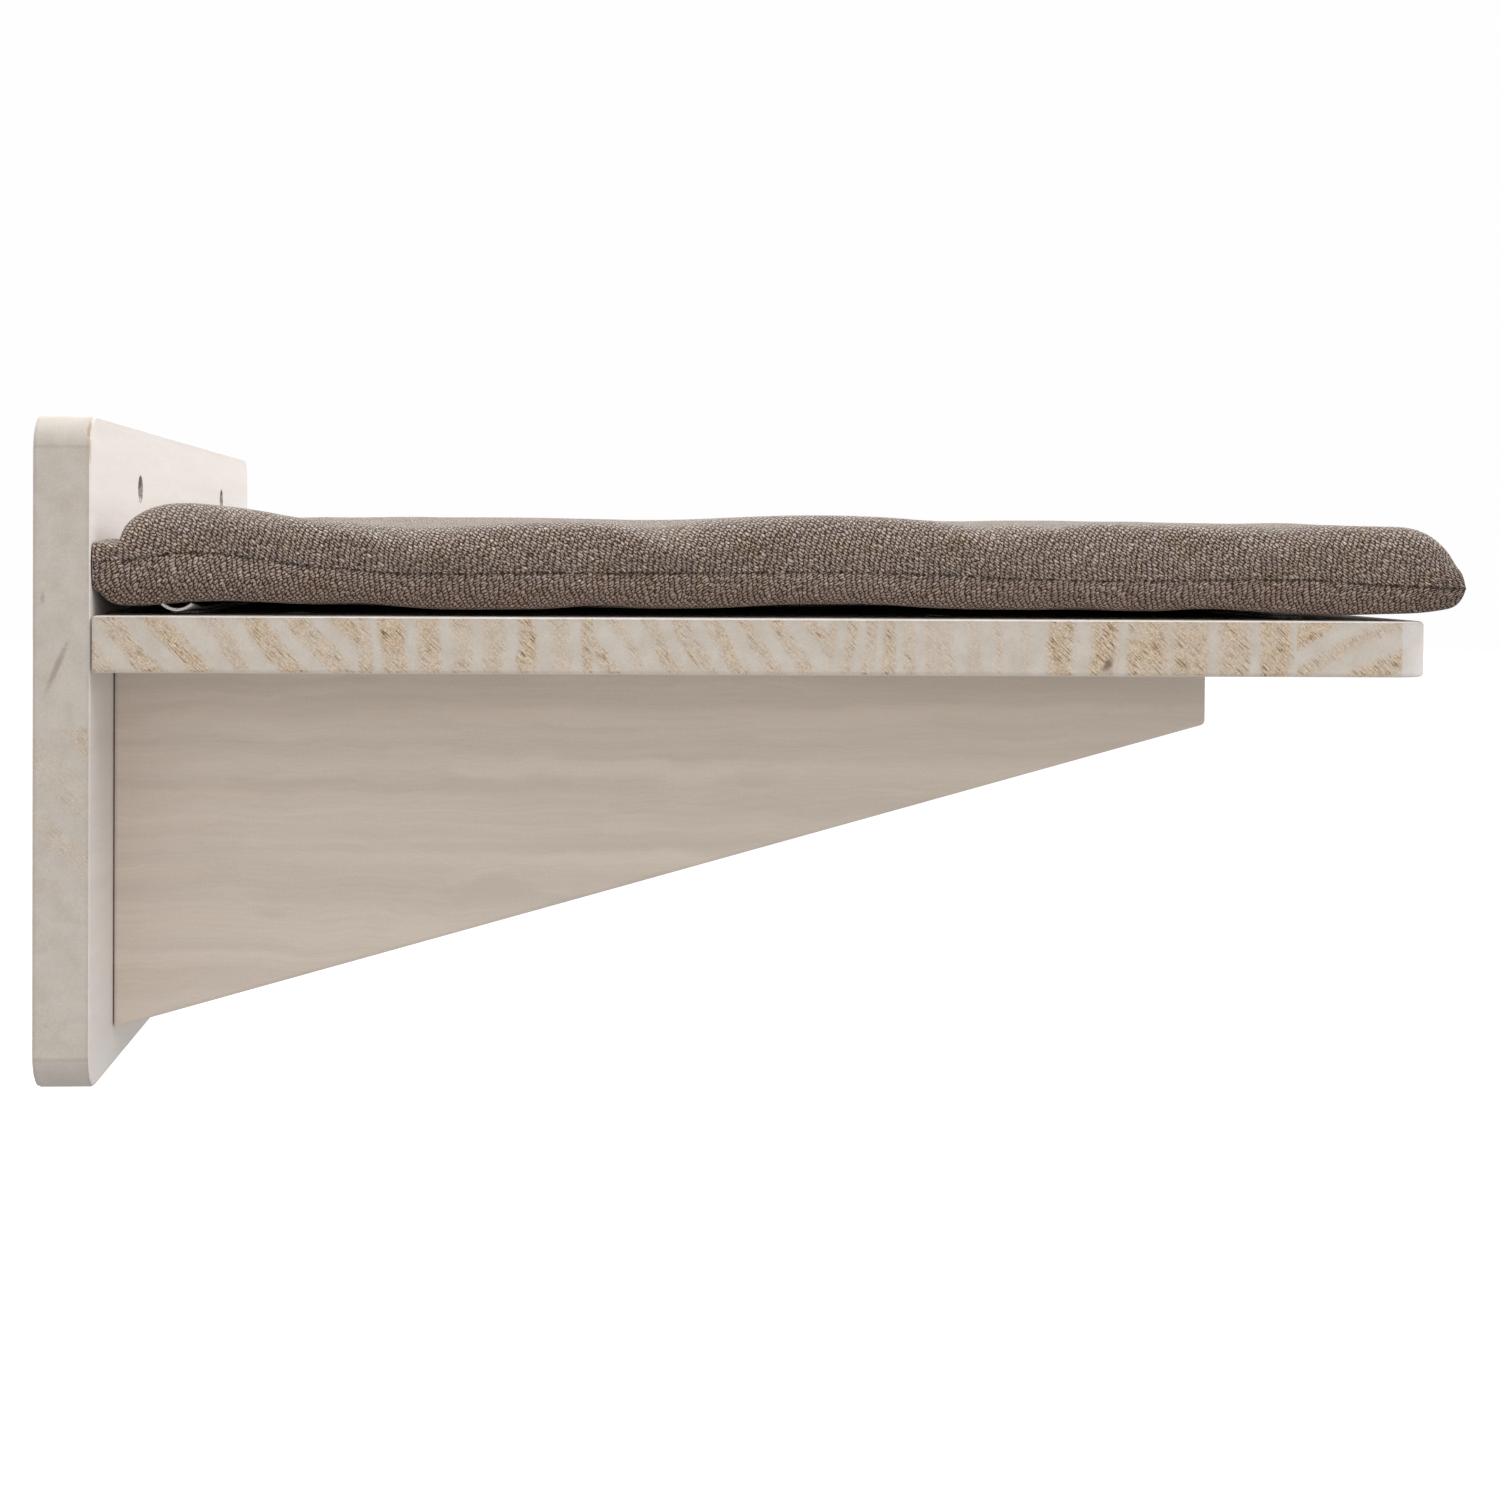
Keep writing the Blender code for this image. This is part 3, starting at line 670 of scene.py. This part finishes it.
def woven_nylon(name, tuft_pitch, tuft_height, deep, raised, roughness):
    """Nylon tape: a tight woven ground with the tufts of its hooks or its loops standing on it. The
    hooks shine, and the napped loops are matt and paler."""
    material, tree, output = new_material(name)
    place = add(tree, "TexCoord")
    in_mm = add(tree, "VectorMath", {"operation": "SCALE"}, {0: place.outputs["Object"], "Scale": MM})
    tufts = add(tree, "TexVoronoi", inputs={"Vector": in_mm, "Scale": 1 / tuft_pitch, "Randomness": 0.3})
    tuft = add(tree, "MapRange", SMOOTH, {0: tufts.outputs["Distance"], 1: 0.1, 2: 0.65, 3: 1.0, 4: 0.0})
    threads = add(
        tree,
        "TexNoise",
        inputs={"Vector": in_mm, "Scale": 1 / TAPE_THREAD, "Detail": 3.0, "Roughness": 0.7},
    )
    height = add(tree, "Math", {"operation": "MULTIPLY_ADD"}, {0: threads, 1: 0.5, 2: tuft})
    # Colour runs from the deep tone where the tape lies low to the raised tone on the tufts: painted shade
    # in the low ground.
    shade = add(tree, "MapRange", inputs={0: height, 1: 0.15, 2: 1.3, 3: 0.0, 4: 1.0})
    colour = add(tree, "Mix", {"data_type": "RGBA"}, {0: shade, 6: linear(deep), 7: linear(raised)})
    relief = add(tree, "Bump", inputs={"Strength": 1.0, "Distance": tuft_height, "Height": height})
    nylon = add(
        tree,
        "BsdfPrincipled",
        inputs={"Base Color": colour.outputs[2], "Roughness": roughness, "Normal": relief},
    )
    tree.links.new(nylon.outputs[0], output.inputs["Surface"])
    return material


hook_tape = woven_nylon("woven_nylon_hook_tape", HOOK_PITCH, HOOK_HEIGHT, "#8f8b85", "#dcdad5", 0.45)
loop_tape = woven_nylon("napped_nylon_loop_tape", LOOP_PITCH, LOOP_HEIGHT, "#c4c0ba", "#f1efeb", 0.85)
finish_node("hook_strip_front", hook_tape)
finish_node("hook_strip_rear", hook_tape)
finish_node("loop_strip_front", loop_tape)

# The near end of the rear loop strip hangs past its sewn part: its two edges lift, so it bows down.
TAPE_BOW_REACH = 0.014
TAPE_EDGE_LIFT = 0.0020
TAPE_OVERHANG = 0.0175
TAPE_CELLS = (10, 140)
strip_low, strip_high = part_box("loop_strip_rear")
strip_low.y -= TAPE_OVERHANG
strip_middle = (strip_low + strip_high) / 2
strip_size = strip_high - strip_low
bpy.ops.object.select_all(action="DESELECT")
bpy.ops.mesh.primitive_grid_add(
    x_subdivisions=TAPE_CELLS[0],
    y_subdivisions=TAPE_CELLS[1],
    size=1,
    location=(strip_middle.x, strip_middle.y, strip_low.z),
)
bowed_strip = bpy.context.object
bowed_strip.name = "loop_tape_rear"
bpy.ops.object.mode_set(mode="EDIT")
bpy.ops.transform.resize(value=(strip_size.x, strip_size.y, 1))
bpy.ops.object.mode_set(mode="OBJECT")
bpy.ops.object.transform_apply(location=True, rotation=True, scale=True)
for vertex in bowed_strip.data.vertices:
    from_end = (vertex.co.y - strip_low.y) / TAPE_BOW_REACH
    from_middle = (vertex.co.x - strip_middle.x) / (strip_size.x / 2)
    vertex.co.z += TAPE_EDGE_LIFT * from_middle ** 2 * math.exp(-(from_end ** 2))
thickness = bowed_strip.modifiers.new("thickness", "SOLIDIFY")
thickness.thickness = strip_size.z
thickness.offset = 1.0
bpy.ops.object.modifier_apply(modifier=thickness.name)
bpy.ops.object.shade_smooth_by_angle(angle=math.radians(40))
bowed_strip.data.materials.append(loop_tape)
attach(bowed_strip, "cushion")
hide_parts("loop_strip_rear")


# The cushion is two panels of chunky woven linen sewn together at half height and stuffed with
# wadding. It swells above and below its sunken seam, its corners stand out as ears, and the wall
# board squeezes its end, so it is thickest there. It lies loose on the hook-and-loop tape.
PAD_CELL = 0.009
# How far in from an edge the rows of its mesh lie, closer together where the cloth turns.
PAD_SIDE_STEPS = (0, 0.0006, 0.0020, 0.0045, 0.0080, 0.0130)
PAD_FREE_STEPS = (0, 0.0003, 0.0010, 0.0026, 0.0055, 0.0098, 0.0155, 0.0230)
PAD_WALL_STEPS = (0, 0.0010, 0.0030, 0.0062, 0.0086, 0.0097, 0.0107, 0.0134, 0.0176, 0.0235, 0.0315)
# The cushion is pressed flat on the wall board. Its corners stand out as ears, blunt at the seam,
# and its swell starts behind a notch. The rounds are how far in from an edge it gets its height.
PAD_PRESSED = 0.0020
PAD_NOTCH = 0.0098
PAD_EAR = 0.39
PAD_EAR_BELOW = 0.60
PAD_EAR_REACH = 0.022
PAD_BLUNT = 0.0024
PAD_SIDE_ROUND = 0.0085
PAD_SIDE_ROUND_BELOW = 0.55 * PAD_SIDE_ROUND
PAD_FREE_ROUND = 0.0170
PAD_WALL_ROUND = 0.0166
PAD_WALL_ROUND_BELOW = 0.0150
PAD_FREE_END = 0.4586
PAD_SEAM = 0.0585
PAD_TOP = 0.0760
PAD_BASE = 0.0466
PAD_DRAW_IN = 0.006
PAD_SEAM_TUCK = 0.0026
PAD_TUCK_POWER = 4
PAD_TUCK_REACH = 0.012
PAD_NEAR_REACH = 0.090
PAD_SWELL = 0.0010
PAD_SWELL_BELOW = 0.0006
PAD_PRESSURE = 0.5
PAD_FRAMES = 20
# Heights along the near side, which the photograph shows: how far out from the wall, and how high.
NEAR_SEAM_LINE = (
    (0.018, 0.0605), (0.028, 0.0610), (0.048, 0.0639), (0.064, 0.0624), (0.086, 0.0593), (0.114, 0.0572),
    (0.211, 0.0578), (0.260, 0.0584), (0.292, 0.0576), (0.315, 0.0564), (0.341, 0.0559), (0.406, 0.0568),
    (0.439, 0.0549), (0.460, 0.0543),
)
NEAR_TOP_LINE = (
    (0.018, 0.0797), (0.050, 0.0813), (0.063, 0.0797), (0.088, 0.0763), (0.120, 0.0742), (0.179, 0.0744),
    (0.250, 0.0772), (0.309, 0.0752), (0.375, 0.0747), (0.405, 0.0747), (0.421, 0.0751), (0.438, 0.0748),
)
NEAR_BASE_LINE = (
    (0.018, 0.0452), (0.032, 0.0470), (0.055, 0.0488), (0.092, 0.0475), (0.134, 0.0462), (0.185, 0.0467),
    (0.260, 0.0474), (0.330, 0.0469), (0.375, 0.0466), (0.401, 0.0462), (0.420, 0.0456), (0.440, 0.0464),
    (0.460, 0.0468),
)

wall_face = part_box("wall_board")[1].x
shelf_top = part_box("shelf_board")[1].z
tape_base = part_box("loop_strip_rear")[1].z
pad_half_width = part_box("cushion_top_panel")[1].y
pad_start = wall_face - PAD_PRESSED


def height_along(line, place):
    """The height of a line given by points, at a place along the shelf, eased between the points."""
    for (x0, z0), (x1, z1) in zip(line, line[1:]):
        if place <= x1 or (x1, z1) == line[-1]:
            t = min(max((place - x0) / (x1 - x0), 0), 1)
            return z0 + (z1 - z0) * t * t * (3 - 2 * t)


def bulge(offset, reach):
    """How far the cover has swelled out from its seam, as a share, this far in from the edge."""
    return 1.0 if offset >= reach else math.sqrt(max(0.0, 1 - (1 - max(offset, 0) / reach) ** 2))


def cloth_places(low, high, low_steps, high_steps):
    """Grid places across a panel, closer together where it turns down to the seam."""
    start, end = low + low_steps[-1], high - high_steps[-1]
    cells = round((end - start) / PAD_CELL)
    middle = [start + (end - start) * k / cells for k in range(1, cells)]
    return [low + step for step in low_steps] + middle + [high - step for step in reversed(high_steps)]


def swell_at(x, y, side):
    """How far the stuffed cover stands off its seam over a place on the flat panel, as a share."""
    from_wall, from_free_end, from_side = x - pad_start, PAD_FREE_END - x, pad_half_width - abs(y)
    blunt = bulge(min(from_wall, from_free_end, from_side), PAD_BLUNT)
    near_corner = math.exp(-((from_side ** 2 + min(from_wall, from_free_end) ** 2) / PAD_EAR_REACH ** 2))
    if side > 0:
        ear = PAD_EAR * blunt
        at_wall = ear + (1 - ear) * bulge(from_wall - PAD_NOTCH, PAD_WALL_ROUND)
        at_free_end = bulge(from_free_end, PAD_FREE_ROUND)
        at_side = bulge(from_side, PAD_SIDE_ROUND)
    else:
        ear = PAD_EAR_BELOW * blunt
        at_wall = bulge(from_wall, PAD_WALL_ROUND_BELOW)
        at_free_end = ear + (1 - ear) * bulge(from_free_end, PAD_FREE_ROUND)
        at_side = bulge(from_side, PAD_SIDE_ROUND_BELOW)
    return max(ear * near_corner, at_wall * at_free_end * at_side)


def pad_point(x, y, side):
    """The cover before it swells, over a place on its flat panel: side is 1 on top and -1 below."""
    from_wall, from_free_end, from_side = x - pad_start, PAD_FREE_END - x, pad_half_width - abs(y)
    nearness = min(max((y + pad_half_width) / PAD_NEAR_REACH, 0), 1)
    near = 1 - nearness * nearness * (3 - 2 * nearness)
    seam = PAD_SEAM + near * (height_along(NEAR_SEAM_LINE, x) - PAD_SEAM)
    if side > 0:
        limit = PAD_TOP + near * (height_along(NEAR_TOP_LINE, x) - PAD_TOP)
    else:
        limit = PAD_BASE + near * (height_along(NEAR_BASE_LINE, x) - PAD_BASE)
    share = swell_at(x, y, side)
    half_length = (PAD_FREE_END - pad_start) / 2
    s = (x - pad_start) / half_length - 1
    t = y / pad_half_width
    corner = 1 - math.exp(-((min(from_wall, from_free_end) ** 2 + from_side ** 2) / PAD_TUCK_REACH ** 2))
    tuck = PAD_SEAM_TUCK * (1 - share) ** PAD_TUCK_POWER * corner
    pull_x = (PAD_DRAW_IN if s > 0 else 0) * s * (1 - t ** 2)
    pull_y = PAD_DRAW_IN * t * (1 - s ** 4)
    if from_side > min(from_wall, from_free_end):
        pull_x += math.copysign(tuck, s)
    else:
        pull_y += math.copysign(tuck, t)
    if side > 0:
        limit -= PAD_SWELL
    return Vector((x - pull_x, y - pull_y, seam + (limit - seam) * share))


xs = cloth_places(pad_start, PAD_FREE_END, PAD_WALL_STEPS, PAD_FREE_STEPS)
ys = cloth_places(-pad_half_width, pad_half_width, PAD_SIDE_STEPS, PAD_SIDE_STEPS)
last_x, last_y = len(xs) - 1, len(ys) - 1
pad_mesh = bmesh.new()
rim = {}
grids = {}
patches = []
for side in (1, -1):
    grid = grids[side] = {}
    for i, x in enumerate(xs):
        for j, y in enumerate(ys):
            if (i, j) in rim:
                grid[i, j] = rim[i, j]
                continue
            grid[i, j] = pad_mesh.verts.new(pad_point(x, y, side))
            if i in (0, last_x) or j in (0, last_y):
                rim[i, j] = grid[i, j]
    for i in range(last_x):
        for j in range(last_y):
            corners = [(i, j), (i + 1, j), (i + 1, j + 1), (i, j + 1)][::side]
            pad_mesh.faces.new([grid[c] for c in corners])
            patches.append((side, corners))
pad_mesh.verts.index_update()
numbers = {side: {c: v.index for c, v in grid.items()} for side, grid in grids.items()}
rim_numbers = [v.index for v in rim.values()]
pad_data = bpy.data.meshes.new("cushion_pad")
pad_mesh.to_mesh(pad_data)
pad_mesh.free()
pad = bpy.data.objects.new("cushion_pad", pad_data)
scene.collection.objects.link(pad)
pad.vertex_groups.new(name="seam").add(rim_numbers, 1.0, "REPLACE")


def places_of(mesh):
    """The places of a mesh's points as rows of an array."""
    values = np.empty(len(mesh.vertices) * 3)
    mesh.vertices.foreach_get("co", values)
    return values.reshape(-1, 3)


cut = places_of(pad_data)
cloth = pad.modifiers.new("stuffed", "CLOTH")
cloth.settings.quality = 5
cloth.settings.mass = 0.3
cloth.settings.tension_stiffness = 30
cloth.settings.compression_stiffness = 30
cloth.settings.shear_stiffness = 5
cloth.settings.bending_stiffness = 0.5
cloth.settings.shrink_min = -0.02
cloth.settings.use_pressure = True
cloth.settings.uniform_pressure_force = PAD_PRESSURE
cloth.settings.vertex_group_mass = "seam"
cloth.settings.effector_weights.gravity = 0
cloth.collision_settings.use_collision = False
cloth.point_cache.frame_end = PAD_FRAMES
for step in range(1, PAD_FRAMES + 1):
    scene.frame_set(step)
move = places_of(pad.evaluated_get(bpy.context.evaluated_depsgraph_get()).data) - cut
pad.modifiers.remove(cloth)
scene.frame_set(1)

# The cover keeps the folds that the simulation gave it, but no point of it moves further than this.
far = np.linalg.norm(move, axis=1)
most = np.full(len(cut), PAD_SWELL)
most[list(numbers[-1].values())] = PAD_SWELL_BELOW
move *= np.minimum(1, most / np.maximum(far, 1e-9))[:, None]
stuffed = cut + move
pad_data.vertices.foreach_set("co", stuffed.ravel())
pad_data.update()

# Each panel is cut flat, so its weave runs by the length of cloth from the seam.
BETWEEN_PANELS = 0.7
spread = {1: {}, -1: {}}
from_seam = np.zeros(len(pad_data.vertices))
for side, grid in numbers.items():
    for i in range(last_x + 1):
        row = [stuffed[grid[i, j]] for j in range(last_y + 1)]
        gone = np.concatenate([[0], np.cumsum([np.linalg.norm(b - a) for a, b in zip(row, row[1:])])])
        for j in range(last_y + 1):
            spread[side][i, j] = [0, gone[j], min(gone[j], gone[-1] - gone[j])]
    for j in range(last_y + 1):
        row = [stuffed[grid[i, j]] for i in range(last_x + 1)]
        gone = np.concatenate([[0], np.cumsum([np.linalg.norm(b - a) for a, b in zip(row, row[1:])])])
        for i in range(last_x + 1):
            place = spread[side][i, j]
            place[0] = gone[i] + (BETWEEN_PANELS if side < 0 else 0)
            from_seam[grid[i, j]] = min(place[2], gone[i], gone[-1] - gone[i])
fabric = pad_data.uv_layers.new(name="fabric")
for polygon, (side, corners) in zip(pad_data.polygons, patches):
    for loop_number, corner in zip(polygon.loop_indices, corners):
        along_pad, up_from_seam = spread[side][corner][:2]
        fabric.data[loop_number].uv = (along_pad, up_from_seam * side)
pad_data.attributes.new("from_seam", "FLOAT", "POINT").data.foreach_set("value", from_seam)

bpy.ops.object.select_all(action="DESELECT")
pad.select_set(True)
bpy.context.view_layer.objects.active = pad
on_rim = set(rim_numbers)
crease = pad_data.attributes.new("crease_edge", "FLOAT", "EDGE")
crease.data.foreach_set(
    "value", [1.0 if e.vertices[0] in on_rim and e.vertices[1] in on_rim else 0.0 for e in pad_data.edges]
)
finer = pad.modifiers.new("finer", "SUBSURF")
finer.levels = 2
finer.render_levels = 2
bpy.ops.object.modifier_apply(modifier=finer.name)

# The stuffing is lumpy. The lumps fade toward the sides, where the cover is drawn tight by its seam.
LUMPS = ((0.055, 0.0006), (0.021, 0.0003))
LUMP_FADE = 0.060
LUMP_AT_SIDES = 0.2
LUMP_SHIFT = Vector((40.4, 15.6, 26.8))
# The cover keeps clear of the tape, the shelf and the wall board, in metres.
TAPE_MARGIN = 0.001
PAD_OVER_TAPE = 0.0002
PAD_OVER_SHELF = 0.0010
PAD_OFF_WALL = 0.0004
normals = np.empty(len(pad_data.vertices) * 3)
pad_data.vertex_normals.foreach_get("vector", normals)
for vertex, normal in zip(pad_data.vertices, normals.reshape(-1, 3)):
    place = vertex.co.copy()
    inside = min(max((pad_half_width - abs(place.y)) / LUMP_FADE, LUMP_AT_SIDES), 1)
    for size, height in LUMPS:
        vertex.co += Vector(normal) * inside * height * noise.noise(place / size + LUMP_SHIFT)
    over_tape = strip_low.y - TAPE_MARGIN < place.y < strip_high.y + TAPE_MARGIN
    over_tape = over_tape and abs(place.x - strip_middle.x) < strip_size.x
    lowest = tape_base + PAD_OVER_TAPE if over_tape else shelf_top + PAD_OVER_SHELF
    vertex.co.x = max(vertex.co.x, wall_face + PAD_OFF_WALL)
    vertex.co.z = max(vertex.co.z, lowest)
bpy.ops.object.shade_smooth()


# Chunky woven linen: soft round knuckles of thick yarn, 1.8 mm apart, with painted shade in the gaps
# between them and fine strands across each. The cloth is matt, with a pale sheen of loose fibre on its yarn.
WEAVE_ROW = 1.78
WEAVE_RISE = 1.02
WEAVE_RANDOMNESS = 0.52
WEAVE_DRIFT_SPAN = 4.5
WEAVE_DRIFT = 2.0
WEAVE_RELIEF = 0.0006
STRAND_SIZES = (0.30, 1.3)
LIGHT_FALL = (0.35, -0.94, 0)
DYE_SPAN = 9
# The gap tone is painted shade, and the lightest tone is partly a painted highlight on the crowns.
WEAVE_GAP_SHADE = "#5c463a"
WEAVE_SHADE = "#7d6559"
WEAVE_YARN = "#cab3a7"
WEAVE_LIGHT_STRANDS_AND_HIGHLIGHT = "#fbeee4"
WEAVE_OLIVE = "#f6f0d0"
# The next two tones are painted: shade toward the shelf, and highlight on top and at the crest.
PAINTED_SHADE_BELOW = "#dacdc6"
PAINTED_TOP_HIGHLIGHT = "#777670"
LOOSE_FIBRE = "#fff8f2"
UNDERSIDE_HEIGHTS = (46.0, 62.0)
CREST_HEIGHTS = (68.0, 83.0)
SEAM_BITE_SPAN = 1.3
SEAM_BITE = 2.0
SEAM_HALF_WIDTHS = (1.00, 1.55)
woven_linen, tree, output = new_material("chunky_woven_linen")
spread_out = add(tree, "UVMap", {"uv_map": "fabric"})
place = add(tree, "TexCoord")
in_mm = add(tree, "VectorMath", {"operation": "SCALE"}, {0: spread_out, "Scale": MM})
object_mm = add(tree, "VectorMath", {"operation": "SCALE"}, {0: place.outputs["Object"], "Scale": MM})

# The knuckles stand in rows, each row half a step along from the next, and the rows drift a little.
drift = add(tree, "TexNoise", inputs={"Vector": object_mm, "Scale": 1 / WEAVE_DRIFT_SPAN, "Detail": 3.0})
drift_shift = add(
    tree,
    "VectorMath",
    {"operation": "MULTIPLY_ADD"},
    {
        0: drift.outputs["Color"],
        1: (WEAVE_DRIFT, WEAVE_DRIFT, 0),
        2: (-WEAVE_DRIFT / 2, -WEAVE_DRIFT / 2, 0),
    },
)
drifted = add(tree, "VectorMath", {"operation": "ADD"}, {0: in_mm, 1: drift_shift})
lattice = add(
    tree,
    "Mapping",
    inputs={
        "Vector": drifted,
        "Rotation": (0, 0, math.pi / 4),
        "Scale": (math.sqrt(2) / WEAVE_ROW, math.sqrt(2) / (2 * WEAVE_RISE), 1),
    },
)
knuckles, gaps = [
    add(
        tree,
        "TexVoronoi",
        {"voronoi_dimensions": "2D", "feature": feature},
        {"Vector": lattice, "Scale": 1.0, "Randomness": WEAVE_RANDOMNESS},
    )
    for feature in ("F1", "DISTANCE_TO_EDGE")
]
each_knuckle = add(tree, "SeparateColor", inputs={0: knuckles.outputs["Color"]})
dome = add(tree, "MapRange", SMOOTH, {0: knuckles.outputs["Distance"], 1: 0.0, 2: 0.75, 3: 1.0, 4: 0.0})

# Fine strands cross each knuckle, at an angle of its own.
yarn_turn = add(tree, "Math", {"operation": "MULTIPLY_ADD"}, {0: each_knuckle.outputs[1], 1: 2.2, 2: -0.2})
turned_yarn = add(
    tree, "VectorRotate", {"rotation_type": "Z_AXIS"}, {"Vector": drifted, "Angle": yarn_turn}
)
strand_place = add(
    tree, "Mapping", inputs={"Vector": turned_yarn, "Scale": (1 / STRAND_SIZES[0], 1 / STRAND_SIZES[1], 1)}
)
strands = add(
    tree,
    "TexNoise",
    {"noise_dimensions": "2D"},
    {"Vector": strand_place, "Scale": 1.0, "Detail": 2.0, "Roughness": 0.6},
)
strand_light = add(tree, "MapRange", inputs={0: strands, 1: 0.32, 2: 0.68, 3: -0.26, 4: 0.30})

# The light falls from above, so the gap below each knuckle is the darkest and its crown the lightest.
from_middle = add(
    tree, "VectorMath", {"operation": "SUBTRACT"}, {0: lattice, 1: knuckles.outputs["Position"]}
)
below_middle = add(tree, "VectorMath", {"operation": "DOT_PRODUCT"}, {0: from_middle, 1: LIGHT_FALL})
gap_shade_strength = add(
    tree, "MapRange", SMOOTH, {0: below_middle.outputs["Value"], 1: -0.35, 2: 0.25, 3: 0.46, 4: 1.36}
)
gap_width = add(
    tree, "Math", {"operation": "MULTIPLY_ADD"}, {0: strands, 1: 0.26, 2: gaps.outputs["Distance"]}
)
gap = add(tree, "MapRange", SMOOTH, {0: gap_width, 1: 0.19, 2: 0.45, 3: 1.0, 4: 0.0})
gap_shadow = add(tree, "Math", {"operation": "MULTIPLY"}, {0: gap, 1: gap_shade_strength})
# The holes where knuckles meet take painted shade as well.
hole = add(tree, "MapRange", SMOOTH, {0: knuckles.outputs["Distance"], 1: 0.46, 2: 0.78, 3: 0.0, 4: 0.8})
hollow = add(tree, "Math", {"operation": "MAXIMUM"}, {0: gap_shadow, 1: hole})
knuckle = add(tree, "Math", {"operation": "SUBTRACT"}, {0: 1.0, 1: hollow})
crown_light = add(
    tree,
    "Math",
    {"operation": "MULTIPLY_ADD"},
    {0: below_middle.outputs["Value"], 1: -0.30, 2: strand_light},
)
yarn_level = add(tree, "Math", {"operation": "MULTIPLY_ADD"}, {0: knuckle, 1: 0.72, 2: crown_light})

# The yarn is taupe, spun from darker and lighter fibres, with an olive cast here and there. The ramp
# also carries painted shade in the gaps and a painted highlight on the crowns.
shades = add(
    tree,
    "ValToRGB",
    inputs={0: yarn_level},
    stops=[
        (0.0, linear(WEAVE_GAP_SHADE)),
        (0.28, linear(WEAVE_SHADE)),
        (0.62, linear(WEAVE_YARN)),
        (1.0, linear(WEAVE_LIGHT_STRANDS_AND_HIGHLIGHT)),
    ],
)
dye = add(tree, "TexNoise", inputs={"Vector": object_mm, "Scale": 1 / DYE_SPAN, "Detail": 2.0})
olive = add(tree, "MapRange", SMOOTH, {0: dye, 1: 0.50, 2: 0.72, 3: 0.0, 4: 0.50})
tint = add(tree, "Mix", {"data_type": "RGBA"}, {0: olive, 6: (1, 1, 1, 1), 7: linear(WEAVE_OLIVE)})
dyed = add(tree, "VectorMath", {"operation": "MULTIPLY"}, {0: shades, 1: tint.outputs[2]})

# Painted shade makes the cloth a little darker and browner toward the shelf, and a painted highlight
# makes it paler where it faces up and at its crest.
heights = add(tree, "SeparateXYZ", inputs={0: object_mm})
underside = add(
    tree,
    "MapRange",
    SMOOTH,
    {0: heights.outputs["Z"], 1: UNDERSIDE_HEIGHTS[0], 2: UNDERSIDE_HEIGHTS[1], 3: 1.0, 4: 0.0},
)
shaded_toward_shelf = add(
    tree,
    "Mix",
    {"data_type": "RGBA", "blend_type": "MULTIPLY"},
    {0: underside, 6: dyed, 7: linear(PAINTED_SHADE_BELOW)},
)
facing = add(tree, "SeparateXYZ", inputs={0: place.outputs["Normal"]})
topside = add(tree, "MapRange", SMOOTH, {0: facing.outputs["Z"], 1: 0.40, 2: 0.95, 3: 0.0, 4: 1.0})
crest = add(
    tree,
    "MapRange",
    SMOOTH,
    {0: heights.outputs["Z"], 1: CREST_HEIGHTS[0], 2: CREST_HEIGHTS[1], 3: 0.0, 4: 1.0},
)
top_highlight_share = add(tree, "Math", {"operation": "MAXIMUM"}, {0: topside, 1: crest})
with_top_highlight = add(
    tree,
    "Mix",
    {"data_type": "RGBA", "blend_type": "SCREEN"},
    {0: top_highlight_share, 6: shaded_toward_shelf.outputs[2], 7: linear(PAINTED_TOP_HIGHLIGHT)},
)

# The seam: the two panels meet in a dark line that the yarn on either side bites into.
seam_distance = add(tree, "Attribute", {"attribute_name": "from_seam"})
seam_mm = add(tree, "Math", {"operation": "MULTIPLY"}, {0: seam_distance.outputs["Fac"], 1: MM})
seam_bite = add(tree, "TexNoise", inputs={"Vector": object_mm, "Scale": 1 / SEAM_BITE_SPAN, "Detail": 1.0})
seam_wobble = add(tree, "Math", {"operation": "MULTIPLY_ADD"}, {0: seam_bite, 1: SEAM_BITE, 2: seam_mm})
seam_open = add(
    tree,
    "MapRange",
    SMOOTH,
    {0: seam_wobble, 1: SEAM_HALF_WIDTHS[0], 2: SEAM_HALF_WIDTHS[1], 3: 0.30, 4: 1.0},
)

bright = add(tree, "MapRange", inputs={0: each_knuckle, 1: 0.0, 2: 1.0, 3: 0.86, 4: 1.16})
lightness = add(tree, "Math", {"operation": "MULTIPLY"}, {0: bright, 1: seam_open})
shaded = add(tree, "VectorMath", {"operation": "SCALE"}, {0: with_top_highlight.outputs[2], "Scale": lightness})
knuckle_height = add(tree, "Math", {"operation": "MULTIPLY_ADD"}, {0: dome, 1: 0.7, 2: yarn_level})
tuft_height = add(tree, "Math", {"operation": "ADD"}, {0: knuckle_height, 1: seam_open})
tufts = add(tree, "Bump", inputs={"Strength": 1.0, "Distance": WEAVE_RELIEF, "Height": tuft_height})
loose_fibre = add(tree, "Math", {"operation": "MULTIPLY"}, {0: knuckle, 1: seam_open})
linen = add(
    tree,
    "BsdfPrincipled",
    inputs={
        "Base Color": shaded,
        "Roughness": 0.95,
        "Specular IOR Level": 0.15,
        "Sheen Weight": loose_fibre,
        "Sheen Roughness": 0.26,
        "Sheen Tint": linear(LOOSE_FIBRE),
        "Normal": tufts,
    },
)
tree.links.new(linen.outputs[0], output.inputs["Surface"])
pad.data.materials.append(woven_linen)
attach(pad, "cushion")
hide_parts("cushion_top_panel", "cushion_bottom_panel", "cushion_filling")
